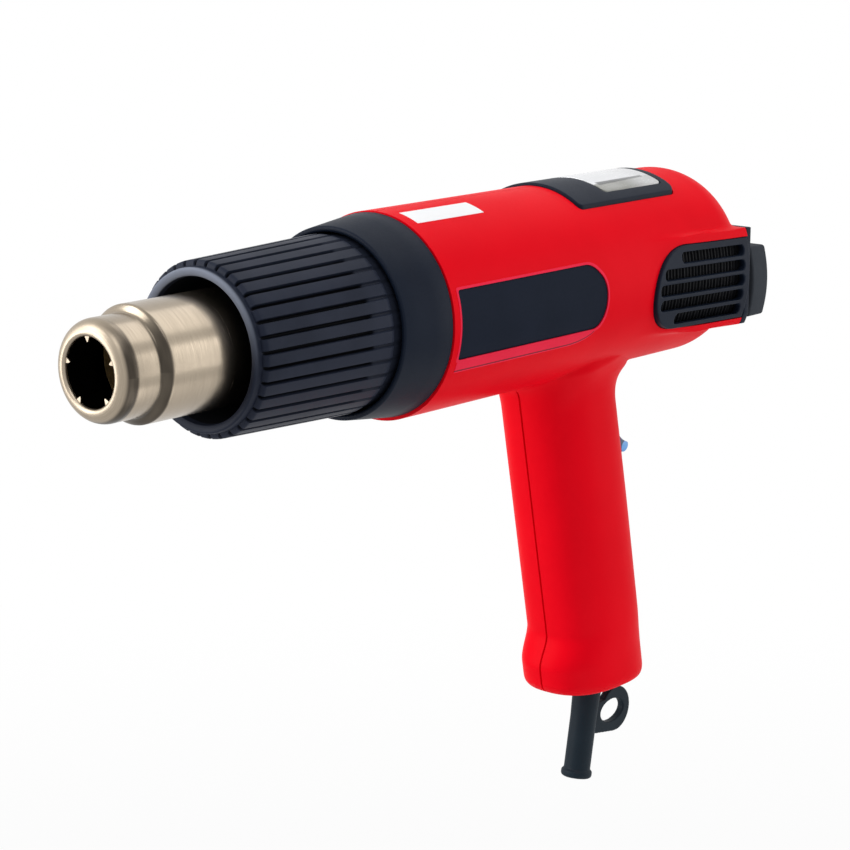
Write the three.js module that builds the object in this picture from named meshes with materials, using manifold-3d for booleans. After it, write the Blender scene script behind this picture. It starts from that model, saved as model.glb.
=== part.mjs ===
// Pistol-grip hot air tool. Millimetres, +Z up, nozzle towards -X, left side towards -Y.
// All pieces are laid out from the rear plane of the front collar on the barrel axis.
// At the end everything is moved so that the origin lies on the flat of the rear stand.
import * as THREE from 'three';
import { mergeVertices } from 'three/addons/utils/BufferGeometryUtils.js';
import Module from 'manifold-3d';

const wasm = await Module();
wasm.setup();

// Fits
const GAP = 0.3; // joint gap between fitted pieces
const WALL = 3; // moulded wall of the housing

// Barrel
const BODY_R = 36.4; // radius of the red barrel
const BODY_SAG = 0.9; // how far the front underside hangs below the circle
const BODY_LEN = 188; // collar to the end of the rear dome
const DOME_LEN = 24.6; // part of the length taken by the dome
const DOME_FILLET = 22; // radius where the dome leaves the barrel
const DOME_SLOPE = 33.4; // degrees, cone behind the fillet
const BODY_SIDES = 48; // facets round the barrel

// Front end
const COLLAR_LEN = 22;
const COLLAR_DRAFT = 2.4; // loss of radius towards the front
const COLLAR_STEP = 0.4; // collar radius below the barrel radius
const SLEEVE_REACH = 86; // collar rear plane to the front lip of the heat shield
const SLEEVE_INSET = 5.2; // ribs at the collar below the barrel radius
const SLEEVE_TAPER = 1.9; // loss of radius over the ribs towards the front
const SLEEVE_WALL = 3;
const RIB_COUNT = 36;
const RIB_DEPTH = 2.1;
const NOZZLE_REACH = 132.2; // collar rear plane to the mouth
const TUBE_R = 19.4;
const STEP_DROP = 2.6; // front stage of the nozzle below the main tube
const ROLL_WIDE = 5.4; // rim of the rolled tip, across
const ROLL_LONG = 5.2; // length of the rolled tip
const TUBE_WALL = 1.1;
const STEP_AT = 16.6; // mouth to the middle of the shoulder
const SHOULDER = 1.4; // half length of the shoulder
const TAB_COUNT = 5; // bent-in tabs at the mouth

// Inlay on each side
const INLAY_FRONT = 4; // from the collar
const INLAY_LEN = 83;
const INLAY_HIGH = 24.2;
const INLAY_THICK = 1.2;
const INLAY_SUNK = 0.3; // below the barrel surface

// Display on top
const BEZEL_INSET = 38.4; // rear edge ahead of the end of the dome
const BEZEL_LEN = 60.8;
const BEZEL_HALF = 21.3; // half width across the barrel
const BEZEL_NOSE = 2; // radius of the front corners
const BEZEL_TAIL = 4.5; // radius of the rear corners
const BEZEL_PROUD = 1.1; // above the barrel surface
const BEZEL_THICK = 2.3;
const LENS_FRONT = 21; // from the bezel front
const LENS_LEN = 35.9;
const LENS_HALF = 16.9;

// Intake band at the rear
const BAND_PROUD = 1.4; // band radius above the barrel radius
const BAND_LOW = 4.2; // band axis below the barrel axis
const BAND_TOP = 15.6; // flat top above the barrel axis, at the middle of the grille
const BAND_DEEP = 22.8; // flat bottom below the barrel axis, at the middle of the grille
const BAND_INSET = 10.8; // rear cover ahead of the end of the dome
const BAND_TILT = 0.039; // drop of the band towards the rear for each mm of length
const GRILLE_LEN = 61.7;
const GRILLE_TOP = 12.35;
const GRILLE_DEEP = 20.1;
const GRILLE_NOSE = 6; // foremost point below the barrel axis
const GRILLE_ROUND = 15.5; // length of the rounded front below that point
const GRILLE_SWEEP = 20.8; // length of the rounded front above it
const GRILLE_THICK = 2.8;
const SLOT_COUNT = 5;
const SLOT_HIGH = 4.3;
const SLOT_PITCH = 5.8;
const SLOT_MARGIN = 2.4; // outline to the front of a slot
const SLOT_SHY = 7; // added to that for the first and the last slot
const SLOT_END = 3.7; // slots end ahead of the end of the band
const SCREEN_THICK = 0.8;
const COVER_THICK = 3.6;

// Rear stand
const STAND_DEPTH = 11.8;
const STAND_INSET = 0.8; // its sides inside the barrel radius
const STAND_BOW = 46; // radius of its sides
const STAND_EDGE = 0.8; // bevel of its edges
const STAND_LOW = 8.1; // centre below the barrel axis
const STAND_HALF = 13.9; // half height

// Handle, in its own frame: s down the handle, u to the rear
const HANDLE_AT = 96.1; // where the handle axis crosses the barrel axis
const HANDLE_RAKE = 10.7; // degrees
const HANDLE_LEN = 165.5; // along s, at the handle axis
const HANDLE_DEPTH = 23.1; // half depth along u
const HANDLE_WIDE = 18.6; // half width
const HANDLE_ROUND = 2.5; // exponent of the oval section
const HANDLE_TOE = 6.4; // forward flare at the foot of the handle
const HANDLE_TILT = 0.185; // slope of the foot along u
const HANDLE_SIDES = 36;
const HANDLE_BLEND = 9; // blend into the barrel
const HANDLE_FILLET = 5; // radius between the handle's rear and the barrel

// Rocker switch in the handle's rear
const SWITCH_AT = 71.5; // along s
const ROCKER_R = 11; // corner of a pad about the pivot
const ROCKER_HALF = 9.2; // half width
const ROCKER_REACH = 8; // pivot to the edge of a pad, along s
const ROCKER_DIP = 2.6; // middle of the rocker below its edges
const ROCKER_THROW = 15; // degrees to each side
const ROCKER_PROUD = 5.4; // high edge above the handle surface

// Strain relief and hanging loop
const RELIEF_LEN = 49.1; // from inside the handle to the end
const RELIEF_IN = 7; // part of it inside the handle
const RELIEF_LEAN = -10.6; // degrees, forward of vertical
const RELIEF_TOP_R = 5.9;
const RELIEF_END_R = 5.3;
const RELIEF_BEAD_R = 6.2;
const CORD_R = 4; // bore for the cord
const LOOP_R = 9.3;
const LOOP_HOLE_LONG = 7.6; // half length of the hole, to the rear
const LOOP_HOLE_HIGH = 4.7; // half height of the hole
const LOOP_HOLE_FORE = 2.4; // hole centre ahead of the loop centre
const LOOP_THICK = 3.2;
const LOOP_BACK = 19.8; // loop centre behind the relief axis
const LOOP_DOWN = 18.8; // loop centre below the foot of the handle

// Electrics in the handle
const CLAMP_UP = 22; // cord clamp above the foot
const CLAMP_HALF = 4; // half height of the clamp
const CLAMP_DEEP = 9; // half depth of the clamp
const BLOCK_UP = 18; // terminal block above the clamp
const BLOCK_HALF = 6;
const BLOCK_DEEP = 12;
const ENTRY_PITCH = 7.6; // between the wire entries of the block
const ENTRY_HALF = 2.4;
const ENTRY_LONG = 8;
const ENTRY_FLOOR = 4;
const BOARD_LEAD = 18; // power board starts above the switch
const BOARD_TAIL = 6; // and ends above the terminal block
const BOARD_LIFT = 7; // off the wall of the handle
const PART_HIGH = 6; // components on the board
const PART_EDGE = 3; // components inside the edge of the board

// Blower and heater
const MOTOR_R = 16;
const MOTOR_LEN = 42;
const MOTOR_INSET = 23.5; // motor front ahead of the grille
const SHAFT_R = 2;
const FAN_LEN = 17;
const FAN_BLADES = 9;
const COIL_LOOPS = 9;
const WIRE_R = 0.9;
const CORE_SHARE = 0.65; // heater core radius to the tube radius

const DEG = Math.PI / 180;
const COLLAR_R = BODY_R - COLLAR_STEP;
const SLEEVE_ROOT_R = BODY_R - SLEEVE_INSET;
const SLEEVE_TIP_R = SLEEVE_ROOT_R - SLEEVE_TAPER;
const TIP_R = TUBE_R - STEP_DROP;
const MOUTH_R = TIP_R - ROLL_WIDE;
const BAND_R = BODY_R + BAND_PROUD;
const STAND_REACH = BODY_R - STAND_INSET; // half width of the stand
const BAND_END = BODY_LEN - BAND_INSET;
const GRILLE_FRONT = BAND_END - GRILLE_LEN;
const MOTOR_AT = GRILLE_FRONT - MOTOR_INSET;
const BEZEL_FRONT = BODY_LEN - BEZEL_INSET - BEZEL_LEN;
const CORE_R = TUBE_R * CORE_SHARE;
const INNER_R = BODY_R - WALL;
const DOME_AT = BODY_LEN - DOME_LEN;
const SPLIT = 400; // half size of the boxes that split and trim

// Solids

function solidOf(geometry) {
  const bare = geometry.clone();
  for (const name of Object.keys(bare.attributes)) {
    if (name !== 'position') {
      bare.deleteAttribute(name);
    }
  }
  const joined = mergeVertices(bare, 1e-4);
  const corners = new Float32Array(joined.attributes.position.array);
  const faces = [];
  const index = joined.index.array;
  for (let i = 0; i < index.length; i += 3) {
    const [a, b, c] = [index[i], index[i + 1], index[i + 2]];
    if (a !== b && b !== c && a !== c) {
      faces.push(a, b, c);
    }
  }
  const build = (list) => new wasm.Manifold(new wasm.Mesh({
    numProp: 3, vertProperties: corners, triVerts: new Uint32Array(list),
  }));
  const solid = build(faces);
  if (solid.volume() > 0) {
    return solid;
  }
  const turned = [];
  for (let i = 0; i < faces.length; i += 3) {
    turned.push(faces[i], faces[i + 2], faces[i + 1]);
  }
  return build(turned);
}

// Closed body through a row of rings with equal point counts; each ring is star shaped.
function loft(rings) {
  const count = rings[0].length;
  const points = rings.flat();
  const faces = [];
  for (let k = 0; k + 1 < rings.length; k += 1) {
    for (let i = 0; i < count; i += 1) {
      const a = k * count + i;
      const b = k * count + ((i + 1) % count);
      faces.push(a, b, b + count, a, b + count, a + count);
    }
  }
  for (const k of [0, rings.length - 1]) {
    const middle = new THREE.Vector3();
    rings[k].forEach((point) => middle.addScaledVector(point, 1 / count));
    const hub = points.length;
    points.push(middle);
    for (let i = 0; i < count; i += 1) {
      const a = k * count + i;
      const b = k * count + ((i + 1) % count);
      faces.push(...(k === 0 ? [hub, b, a] : [hub, a, b]));
    }
  }
  const geometry = new THREE.BufferGeometry().setFromPoints(points);
  geometry.setIndex(faces);
  return solidOf(geometry);
}

// Body of revolution about the barrel axis from a profile of [x, radius] points.
function revolve(profile, sides = BODY_SIDES) {
  const closed = profile[0][1] > 0 ? [...profile, profile[0]] : profile;
  const points = closed.map(([x, radius]) => new THREE.Vector2(radius, x));
  const geometry = new THREE.LatheGeometry(points, sides);
  geometry.rotateZ(-Math.PI / 2);
  return solidOf(geometry);
}

function ring(from, to, outer, inner, sides = BODY_SIDES) {
  return revolve([[from, inner], [from, outer], [to, outer], [to, inner]], sides);
}

function rod(from, to, radius, sides = 24) {
  return revolve([[from, 0], [from, radius], [to, radius], [to, 0]], sides);
}

function box(x0, x1, y0, y1, z0, z1) {
  const geometry = new THREE.BoxGeometry(x1 - x0, y1 - y0, z1 - z0);
  geometry.translate((x0 + x1) / 2, (y0 + y1) / 2, (z0 + z1) / 2);
  return solidOf(geometry);
}

function extrude(shape, depth, curveSegments = 10) {
  return new THREE.ExtrudeGeometry(shape, { depth, bevelEnabled: false, curveSegments });
}

// Shape drawn in X and Z, standing between two values of Y.
function slabY(shape, y0, y1, curveSegments) {
  const geometry = extrude(shape, y1 - y0, curveSegments);
  geometry.rotateX(Math.PI / 2);
  geometry.translate(0, y1, 0);
  return solidOf(geometry);
}

// Shape drawn in X and Y, standing between two values of Z.
function slabZ(shape, z0, z1, curveSegments) {
  const geometry = extrude(shape, z1 - z0, curveSegments);
  geometry.translate(0, 0, z0);
  return solidOf(geometry);
}

function roundedRect(x0, x1, y0, y1, radius) {
  const shape = new THREE.Shape();
  shape.moveTo(x0 + radius, y0);
  shape.lineTo(x1 - radius, y0);
  shape.absarc(x1 - radius, y0 + radius, radius, -Math.PI / 2, 0, false);
  shape.lineTo(x1, y1 - radius);
  shape.absarc(x1 - radius, y1 - radius, radius, 0, Math.PI / 2, false);
  shape.lineTo(x0 + radius, y1);
  shape.absarc(x0 + radius, y1 - radius, radius, Math.PI / 2, Math.PI, false);
  shape.lineTo(x0, y0 + radius);
  shape.absarc(x0 + radius, y0 + radius, radius, Math.PI, Math.PI * 1.5, false);
  return shape;
}

function mirrorY(solid) {
  return solid.mirror([0, 1, 0]);
}

// Barrel

function smooth(value) {
  const t = Math.min(1, Math.max(0, value));
  return t * t * (3 - 2 * t);
}

function barrelRing(x, radius) {
  const sag = BODY_SAG * (1 - smooth((x / BODY_LEN - 0.33) / 0.3));
  const points = [];
  for (let i = 0; i < BODY_SIDES; i += 1) {
    const angle = (2 * Math.PI * i) / BODY_SIDES;
    const down = Math.max(0, -Math.sin(angle));
    points.push(new THREE.Vector3(x, radius * Math.cos(angle),
      radius * Math.sin(angle) - sag * down));
  }
  return points;
}

function barrelOuter() {
  const rings = [];
  for (const part of [0, 0.33, 0.43, 0.53, 0.63]) {
    rings.push(barrelRing(GAP + part * (BODY_LEN - GAP), BODY_R));
  }
  const turn = DOME_SLOPE * DEG;
  for (const part of [0, 0.35, 0.7, 1]) {
    const angle = part * turn;
    rings.push(barrelRing(DOME_AT + DOME_FILLET * Math.sin(angle),
      BODY_R - DOME_FILLET * (1 - Math.cos(angle))));
  }
  const coneAt = DOME_AT + DOME_FILLET * Math.sin(turn);
  const coneR = BODY_R - DOME_FILLET * (1 - Math.cos(turn));
  const edge = 2;
  const endR = coneR - (BODY_LEN - edge - coneAt) * Math.tan(turn);
  rings.push(barrelRing(BODY_LEN - edge, endR));
  rings.push(barrelRing(BODY_LEN - edge * 0.3, endR - edge));
  rings.push(barrelRing(BODY_LEN, endR - 2 * edge));
  return loft(rings);
}

function barrelInner() {
  const rings = [];
  for (const part of [-0.05, 0.33, 0.43, 0.53, 0.63, 0.85]) {
    rings.push(barrelRing(part * BODY_LEN, INNER_R));
  }
  const end = BAND_END - WALL;
  rings.push(barrelRing(end, INNER_R - (end - DOME_AT) * Math.tan(DOME_SLOPE * DEG)));
  return loft(rings);
}

// Section of the intake band: a wide circle cut off flat above and below.
function bandShape(inset) {
  const radius = BAND_R - inset;
  const top = BAND_TOP - inset;
  const deep = -BAND_DEEP + inset;
  const high = Math.asin((top + BAND_LOW) / radius);
  const low = Math.asin((deep + BAND_LOW) / radius);
  const shape = new THREE.Shape();
  shape.absarc(0, -BAND_LOW, radius, low, high, false);
  shape.absarc(0, -BAND_LOW, radius, Math.PI - high, Math.PI - low, false);
  return shape;
}

// Shape drawn in Y and Z, standing between two values of X.
function slabX(shape, x0, x1, curveSegments) {
  const geometry = extrude(shape, x1 - x0, curveSegments);
  geometry.rotateX(Math.PI / 2);
  geometry.rotateZ(Math.PI / 2);
  geometry.translate(x0, 0, 0);
  return solidOf(geometry);
}

function grilleShape(inset) {
  const top = GRILLE_TOP - inset;
  const deep = GRILLE_DEEP - inset;
  const upper = GRILLE_FRONT + GRILLE_SWEEP;
  const lower = GRILLE_FRONT + GRILLE_ROUND;
  const shape = new THREE.Shape();
  shape.moveTo(lower, -deep);
  shape.lineTo(BAND_END - inset, -deep);
  shape.lineTo(BAND_END - inset, top);
  shape.lineTo(upper, top);
  shape.absellipse(upper, -GRILLE_NOSE, GRILLE_SWEEP - inset, top + GRILLE_NOSE,
    Math.PI / 2, Math.PI, false);
  shape.absellipse(lower, -GRILLE_NOSE, GRILLE_ROUND - inset, deep - GRILLE_NOSE,
    Math.PI, Math.PI * 1.5, false);
  return shape;
}

// Where the outline of the grille begins at a height.
function grilleNose(z) {
  const off = z + GRILLE_NOSE;
  const length = off > 0 ? GRILLE_SWEEP : GRILLE_ROUND;
  const high = off > 0 ? GRILLE_TOP + GRILLE_NOSE : GRILLE_DEEP - GRILLE_NOSE;
  const part = Math.min(1, Math.abs(off) / high);
  return GRILLE_FRONT + length * (1 - Math.sqrt(1 - part * part));
}

// The whole intake band drops towards the rear, about the middle of its grille.
function tilted(solid) {
  const middle = (GRILLE_FRONT + BAND_END) / 2;
  const shear = new THREE.Matrix4().set(
    1, 0, 0, 0,
    0, 1, 0, 0,
    -BAND_TILT, 0, 1, BAND_TILT * middle,
    0, 0, 0, 1,
  );
  return solid.transform(shear.toArray());
}

// Circular shell about an axis parallel to the barrel.
function shell(x0, x1, outer, inner, low = 0, sides = BODY_SIDES) {
  return ring(x0, x1, outer, inner, sides).translate([0, 0, -low]);
}

// Handle

const RAKE = HANDLE_RAKE * DEG;

function handlePoint(s, u, y) {
  return new THREE.Vector3(
    HANDLE_AT + s * Math.sin(RAKE) + u * Math.cos(RAKE),
    y,
    -s * Math.cos(RAKE) + u * Math.sin(RAKE),
  );
}

function handleRing(s, front, rear, wide, tilt) {
  const middle = (rear - front) / 2;
  const depth = (rear + front) / 2;
  const points = [];
  for (let i = 0; i < HANDLE_SIDES; i += 1) {
    const angle = (2 * Math.PI * i) / HANDLE_SIDES;
    const power = 2 / HANDLE_ROUND;
    const u = middle + depth * Math.sign(Math.cos(angle)) * Math.abs(Math.cos(angle)) ** power;
    const y = wide * Math.sign(Math.sin(angle)) * Math.abs(Math.sin(angle)) ** power;
    points.push(handlePoint(s + tilt * u, u, y));
  }
  return points;
}

// Stations from the barrel to the foot: [part of the length, blend, toe, edge rounding].
const HANDLE_STATIONS = [
  [0.15, 1.2, 0, 0], [0.222, 0.7, 0, 0], [0.245, 0.25, 0, 0], [0.257, 0.1, 0, 0], [0.264, 0.05, 0, 0],
  [0.275, 0.02, 0, 0], [0.285, 0, 0, 0],
  [0.6, 0, 0, 0], [0.832, 0, 0, 0], [0.864, 0, 0.14, 0], [0.893, 0, 0.6, 0], [0.918, 0, 0.93, 0],
  [0.938, 0, 1, 0], [0.978, 0, 1, 0], [0.992, 0, 0.94, 0.3], [1, 0, 0.82, 0.9],
];
const FOOT_ROUND = 1.8; // rounded edge of the foot
const FRONT_BLEND = 0.12; // share of the blend at the front of the handle
const SIDE_BLEND = 0.4; // share of the blend across the handle
const SIDE_WALL = 0.8; // wall across the handle to the wall at its ends

// How far the handle's rear flares towards the barrel, by its distance from the barrel.
function rearFlare(s) {
  const meets = (BODY_R + HANDLE_DEPTH * Math.sin(RAKE)) / Math.cos(RAKE);
  const left = HANDLE_FILLET - Math.min(HANDLE_FILLET, Math.max(0, s - meets));
  return HANDLE_FILLET - Math.sqrt(HANDLE_FILLET ** 2 - left ** 2);
}

function handleBody(inset, stations) {
  const rings = stations.map(([part, blend, toe, round]) => {
    const edge = -round * FOOT_ROUND - inset;
    const fillet = blend * HANDLE_BLEND;
    const tilt = part > 0.8 ? HANDLE_TILT * (part - 0.8) / 0.2 : 0;
    const front = HANDLE_DEPTH + edge + fillet * FRONT_BLEND + toe * HANDLE_TOE;
    const rear = HANDLE_DEPTH + edge + rearFlare(part * HANDLE_LEN);
    const wide = HANDLE_WIDE + edge * SIDE_WALL + fillet * SIDE_BLEND;
    return handleRing(part * HANDLE_LEN, front, rear, wide, tilt);
  });
  return loft(rings);
}

function handleInner() {
  const end = 1 - (WALL * 1.6) / HANDLE_LEN;
  const rows = [[0.1, 0, 0, 0], [0.3, 0, 0, 0], [0.84, 0, 0, 0], [0.9, 0, 0.4, 0], [end, 0, 0.5, 0]];
  return handleBody(WALL, rows);
}

// Half width left between the walls of the handle at a depth u, less the fit.
function handleRoom(u) {
  const part = Math.abs(u) / (HANDLE_DEPTH - WALL);
  const wide = HANDLE_WIDE - WALL * SIDE_WALL;
  return wide * (1 - part ** HANDLE_ROUND) ** (1 / HANDLE_ROUND) - 2 * GAP;
}

// Box in the handle's own frame.
function handleBox(s0, s1, u0, u1, y0, y1) {
  return box(u0, u1, y0, y1, -s1, -s0).rotate([0, -HANDLE_RAKE, 0]).translate([HANDLE_AT, 0, 0]);
}

// Inlay

function inlayShape(grow) {
  const x0 = INLAY_FRONT - grow;
  const x1 = INLAY_FRONT + INLAY_LEN + grow;
  const top = INLAY_HIGH / 2 + grow;
  const big = INLAY_HIGH * 0.52;
  const small = INLAY_HIGH * 0.28;
  const corner = 1.2;
  const shape = new THREE.Shape();
  shape.moveTo(x0 + corner, -top);
  shape.lineTo(x1 - small, -top);
  shape.quadraticCurveTo(x1 - small * 0.3, -top, x1 - small * 0.1, -top + small * 1.1);
  shape.quadraticCurveTo(x1 + small * 0.1, top - big * 0.6, x1 - big * 0.35, top - big * 0.28);
  shape.quadraticCurveTo(x1 - big * 0.6, top, x1 - big, top);
  shape.lineTo(x0 + corner, top);
  shape.quadraticCurveTo(x0, top, x0, top - corner);
  shape.lineTo(x0, -top + corner);
  shape.quadraticCurveTo(x0, -top, x0 + corner, -top);
  return shape;
}

function inlayLeft() {
  const outer = BODY_R - INLAY_SUNK;
  const skin = shell(0, BODY_LEN, outer, outer - INLAY_THICK);
  return skin.intersect(slabY(inlayShape(0), -SPLIT, -BODY_R / 2, 8));
}

function inlayRecess() {
  const floor = BODY_R - INLAY_SUNK - INLAY_THICK - GAP;
  const skin = shell(0, BODY_LEN, BODY_R * 2, floor);
  return skin.intersect(slabY(inlayShape(GAP), -SPLIT, -BODY_R / 2, 8));
}

// Display

const BEZEL_OUT = BODY_R + BEZEL_PROUD;
const BEZEL_IN = BEZEL_OUT - BEZEL_THICK;

function bezelShape(grow) {
  const front = BEZEL_FRONT - grow;
  const rear = BEZEL_FRONT + BEZEL_LEN + grow;
  const half = BEZEL_HALF + grow;
  const [nose, tail] = [BEZEL_NOSE, BEZEL_TAIL];
  const shape = new THREE.Shape();
  shape.absarc(rear - tail, -half + tail, tail, -Math.PI / 2, 0, false);
  shape.absarc(rear - tail, half - tail, tail, 0, Math.PI / 2, false);
  shape.absarc(front + nose, half - nose, nose, Math.PI / 2, Math.PI, false);
  shape.absarc(front + nose, -half + nose, nose, Math.PI, Math.PI * 1.5, false);
  return shape;
}

function lensShape(inset) {
  const front = BEZEL_FRONT + LENS_FRONT + inset;
  const rear = BEZEL_FRONT + LENS_FRONT + LENS_LEN - inset;
  return roundedRect(front, rear, -LENS_HALF + inset, LENS_HALF - inset, 1.6);
}

function displayBezel() {
  const skin = shell(0, BODY_LEN, BEZEL_OUT, BEZEL_IN);
  const saddle = skin.intersect(slabZ(bezelShape(0), 0, SPLIT, 12));
  return saddle.subtract(slabZ(lensShape(0), 0, SPLIT, 6));
}

function displayLens() {
  const skin = shell(0, BODY_LEN, BEZEL_OUT + GAP, BEZEL_IN + GAP);
  return skin.intersect(slabZ(lensShape(GAP), 0, SPLIT, 6));
}

function displayRecess() {
  const seat = shell(0, BODY_LEN, BODY_R * 2, BEZEL_IN - GAP);
  return seat.intersect(slabZ(bezelShape(GAP), 0, SPLIT, 12));
}

const LCD_HALF = LENS_HALF - 5;
const LCD_TOP = Math.sqrt((BEZEL_IN + GAP) ** 2 - LCD_HALF ** 2) - GAP - 0.1;
const LCD_DEEP = 3;
const BOARD_THICK = 1.6;

function displayModule() {
  const x0 = BEZEL_FRONT + LENS_FRONT + 3;
  const x1 = x0 + LENS_LEN - 6;
  return box(x0, x1, -LCD_HALF, LCD_HALF, LCD_TOP - LCD_DEEP, LCD_TOP);
}

function displayBoard() {
  const x0 = BEZEL_FRONT + LENS_FRONT + 0.8;
  const x1 = x0 + LENS_LEN - 1.6;
  const top = LCD_TOP - LCD_DEEP - GAP;
  const half = LENS_HALF - 2 * GAP - 0.2;
  return box(x0, x1, -half, half, top - BOARD_THICK, top);
}

function displayWindow() {
  return slabZ(lensShape(0), INNER_R / 2, SPLIT, 6);
}

// Intake

function intakeGrille() {
  const skin = shell(0, BODY_LEN, BAND_R, BAND_R - GRILLE_THICK, BAND_LOW);
  let plate = skin.intersect(slabY(grilleShape(GAP), -SPLIT, -BAND_R / 2, 10));
  const rear = BAND_END - SLOT_END;
  for (let i = 0; i < SLOT_COUNT; i += 1) {
    const low = (i - (SLOT_COUNT - 1) / 2) * SLOT_PITCH - BAND_LOW - SLOT_HIGH / 2;
    const high = low + SLOT_HIGH;
    const shy = i === 0 || i === SLOT_COUNT - 1 ? SLOT_SHY : 0;
    const front = Math.max(grilleNose(low), grilleNose(high)) + SLOT_MARGIN + shy;
    const slot = roundedRect(front, rear, low, high, SLOT_HIGH * 0.45);
    plate = plate.subtract(slabY(slot, -SPLIT, -BAND_R / 2, 2));
  }
  return tilted(plate);
}

function dustScreen() {
  const outer = BAND_R - GRILLE_THICK - GAP;
  const skin = shell(0, BODY_LEN, outer, outer - SCREEN_THICK, BAND_LOW);
  return tilted(skin.intersect(slabY(grilleShape(1.6), -SPLIT, -BAND_R / 2, 6)));
}

// The cover is flush with the band above and below and set back at its sides.
function rearCover() {
  const half = BAND_R - GRILLE_THICK;
  const plate = slabX(bandShape(0), BAND_END + GAP, BAND_END + GAP + COVER_THICK, 20);
  return tilted(plate.intersect(box(-SPLIT, SPLIT, -half, half, -SPLIT, SPLIT)));
}

function rearPocket() {
  return tilted(slabX(bandShape(-GAP), BAND_END, BODY_LEN + STAND_DEPTH, 20));
}

function standRing(x, shrink) {
  const high = Math.asin((STAND_HALF - shrink) / STAND_BOW);
  const middle = STAND_REACH - shrink - STAND_BOW;
  const shape = new THREE.Shape();
  shape.absarc(middle, 0, STAND_BOW, -high, high, false);
  shape.absarc(-middle, 0, STAND_BOW, Math.PI - high, Math.PI + high, false);
  return shape.getPoints(7).slice(0, -1).map((p) => new THREE.Vector3(x, p.x, p.y - STAND_LOW));
}

const STAND_FRONT = BAND_END + COVER_THICK + 2 * GAP;
const STAND_REAR = STAND_FRONT + STAND_DEPTH;

function rearStand() {
  return loft([
    standRing(STAND_FRONT, STAND_EDGE),
    standRing(STAND_FRONT + STAND_EDGE, 0),
    standRing(STAND_REAR - STAND_EDGE, 0),
    standRing(STAND_REAR, STAND_EDGE),
  ]);
}

// Switch

const PIVOT_RISE = Math.sqrt(ROCKER_R ** 2 - ROCKER_REACH ** 2);
const THROW = ROCKER_THROW * DEG;
const HIGH_EDGE = PIVOT_RISE * Math.cos(THROW) + ROCKER_REACH * Math.sin(THROW);
const PIVOT_U = HANDLE_DEPTH + ROCKER_PROUD - HIGH_EDGE;
const ROCKER_SWEEP = ROCKER_REACH * Math.cos(THROW) + PIVOT_RISE * Math.sin(THROW); // reach when tilted
const ROCKER_ROOT = 3; // underside of the rocker below the pivot
const ROOT_HALF = 4; // half length of that underside
const ROOT_SWING = Math.hypot(ROOT_HALF, ROCKER_ROOT);
const SWITCH_DEEP = 11;
const SWITCH_SIDE = 1.2; // side wall of the switch body beside the rocker
const SWITCH_HALF = ROCKER_HALF + 2 * GAP + SWITCH_SIDE;

function switchOpening() {
  const half = ROCKER_SWEEP + 2 * GAP;
  const side = SWITCH_HALF + GAP;
  const floor = PIVOT_U - SWITCH_DEEP - 8;
  return handleBox(SWITCH_AT - half, SWITCH_AT + half, floor, HANDLE_DEPTH * 2, -side, side);
}

function switchRocker() {
  const shape = new THREE.Shape();
  shape.moveTo(-ROOT_HALF, -ROCKER_ROOT);
  shape.lineTo(ROOT_HALF, -ROCKER_ROOT);
  shape.lineTo(ROCKER_REACH, 0);
  shape.lineTo(ROCKER_REACH, PIVOT_RISE);
  shape.quadraticCurveTo(0, PIVOT_RISE - 2 * ROCKER_DIP, -ROCKER_REACH, PIVOT_RISE);
  shape.lineTo(-ROCKER_REACH, 0);
  shape.closePath();
  const geometry = extrude(shape, 2 * ROCKER_HALF, 5);
  geometry.translate(0, 0, -ROCKER_HALF);
  geometry.rotateX(Math.PI / 2);
  geometry.rotateY(Math.PI / 2);
  const turned = solidOf(geometry).rotate([0, -ROCKER_THROW, 0]);
  return turned.translate([PIVOT_U, 0, -SWITCH_AT]).rotate([0, -HANDLE_RAKE, 0])
    .translate([HANDLE_AT, 0, 0]);
}

function switchBody() {
  const half = ROCKER_SWEEP + GAP;
  const [s0, s1] = [SWITCH_AT - half, SWITCH_AT + half];
  const top = PIVOT_U - ROOT_SWING - GAP;
  const low = top - SWITCH_DEEP;
  let body = handleBox(s0, s1, low, top, -SWITCH_HALF, SWITCH_HALF);
  const [near, far] = [ROCKER_HALF + GAP, SWITCH_HALF];
  body = body.add(handleBox(s0, s1, top - 1, PIVOT_U + 1, near, far));
  body = body.add(handleBox(s0, s1, top - 1, PIVOT_U + 1, -far, -near));
  for (const part of [-0.6, 0, 0.6]) {
    const s = SWITCH_AT + part * half;
    body = body.add(handleBox(s - 0.4, s + 0.4, low - 5, low + 1, -2.4, 2.4));
  }
  return body;
}

// Strain relief

const LEAN = RELIEF_LEAN * DEG;
const FOOT = handlePoint(HANDLE_LEN, 0, 0);

function reliefFrame(solid) {
  return solid.rotate([0, 90 - RELIEF_LEAN, 0])
    .translate([FOOT.x - RELIEF_IN * Math.sin(LEAN), 0, FOOT.z + RELIEF_IN * Math.cos(LEAN)]);
}

function reliefAxisX(down) {
  return FOOT.x + Math.tan(LEAN) * down;
}

function reliefTube(outerOnly) {
  const bead = RELIEF_LEN - 4.4;
  const outer = [
    [0, RELIEF_TOP_R], [RELIEF_IN, RELIEF_TOP_R], [RELIEF_LEN * 0.5, RELIEF_END_R],
    [bead - 0.3, RELIEF_END_R], [bead, RELIEF_BEAD_R - 0.4], [bead + 0.4, RELIEF_BEAD_R],
    [RELIEF_LEN - 0.7, RELIEF_BEAD_R], [RELIEF_LEN, RELIEF_BEAD_R - 0.5],
  ];
  if (outerOnly) {
    return reliefFrame(revolve([[0, 0], ...outer, [RELIEF_LEN, 0]], 24));
  }
  return reliefFrame(rod(-5, RELIEF_LEN + 5, CORD_R, 20));
}

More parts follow.
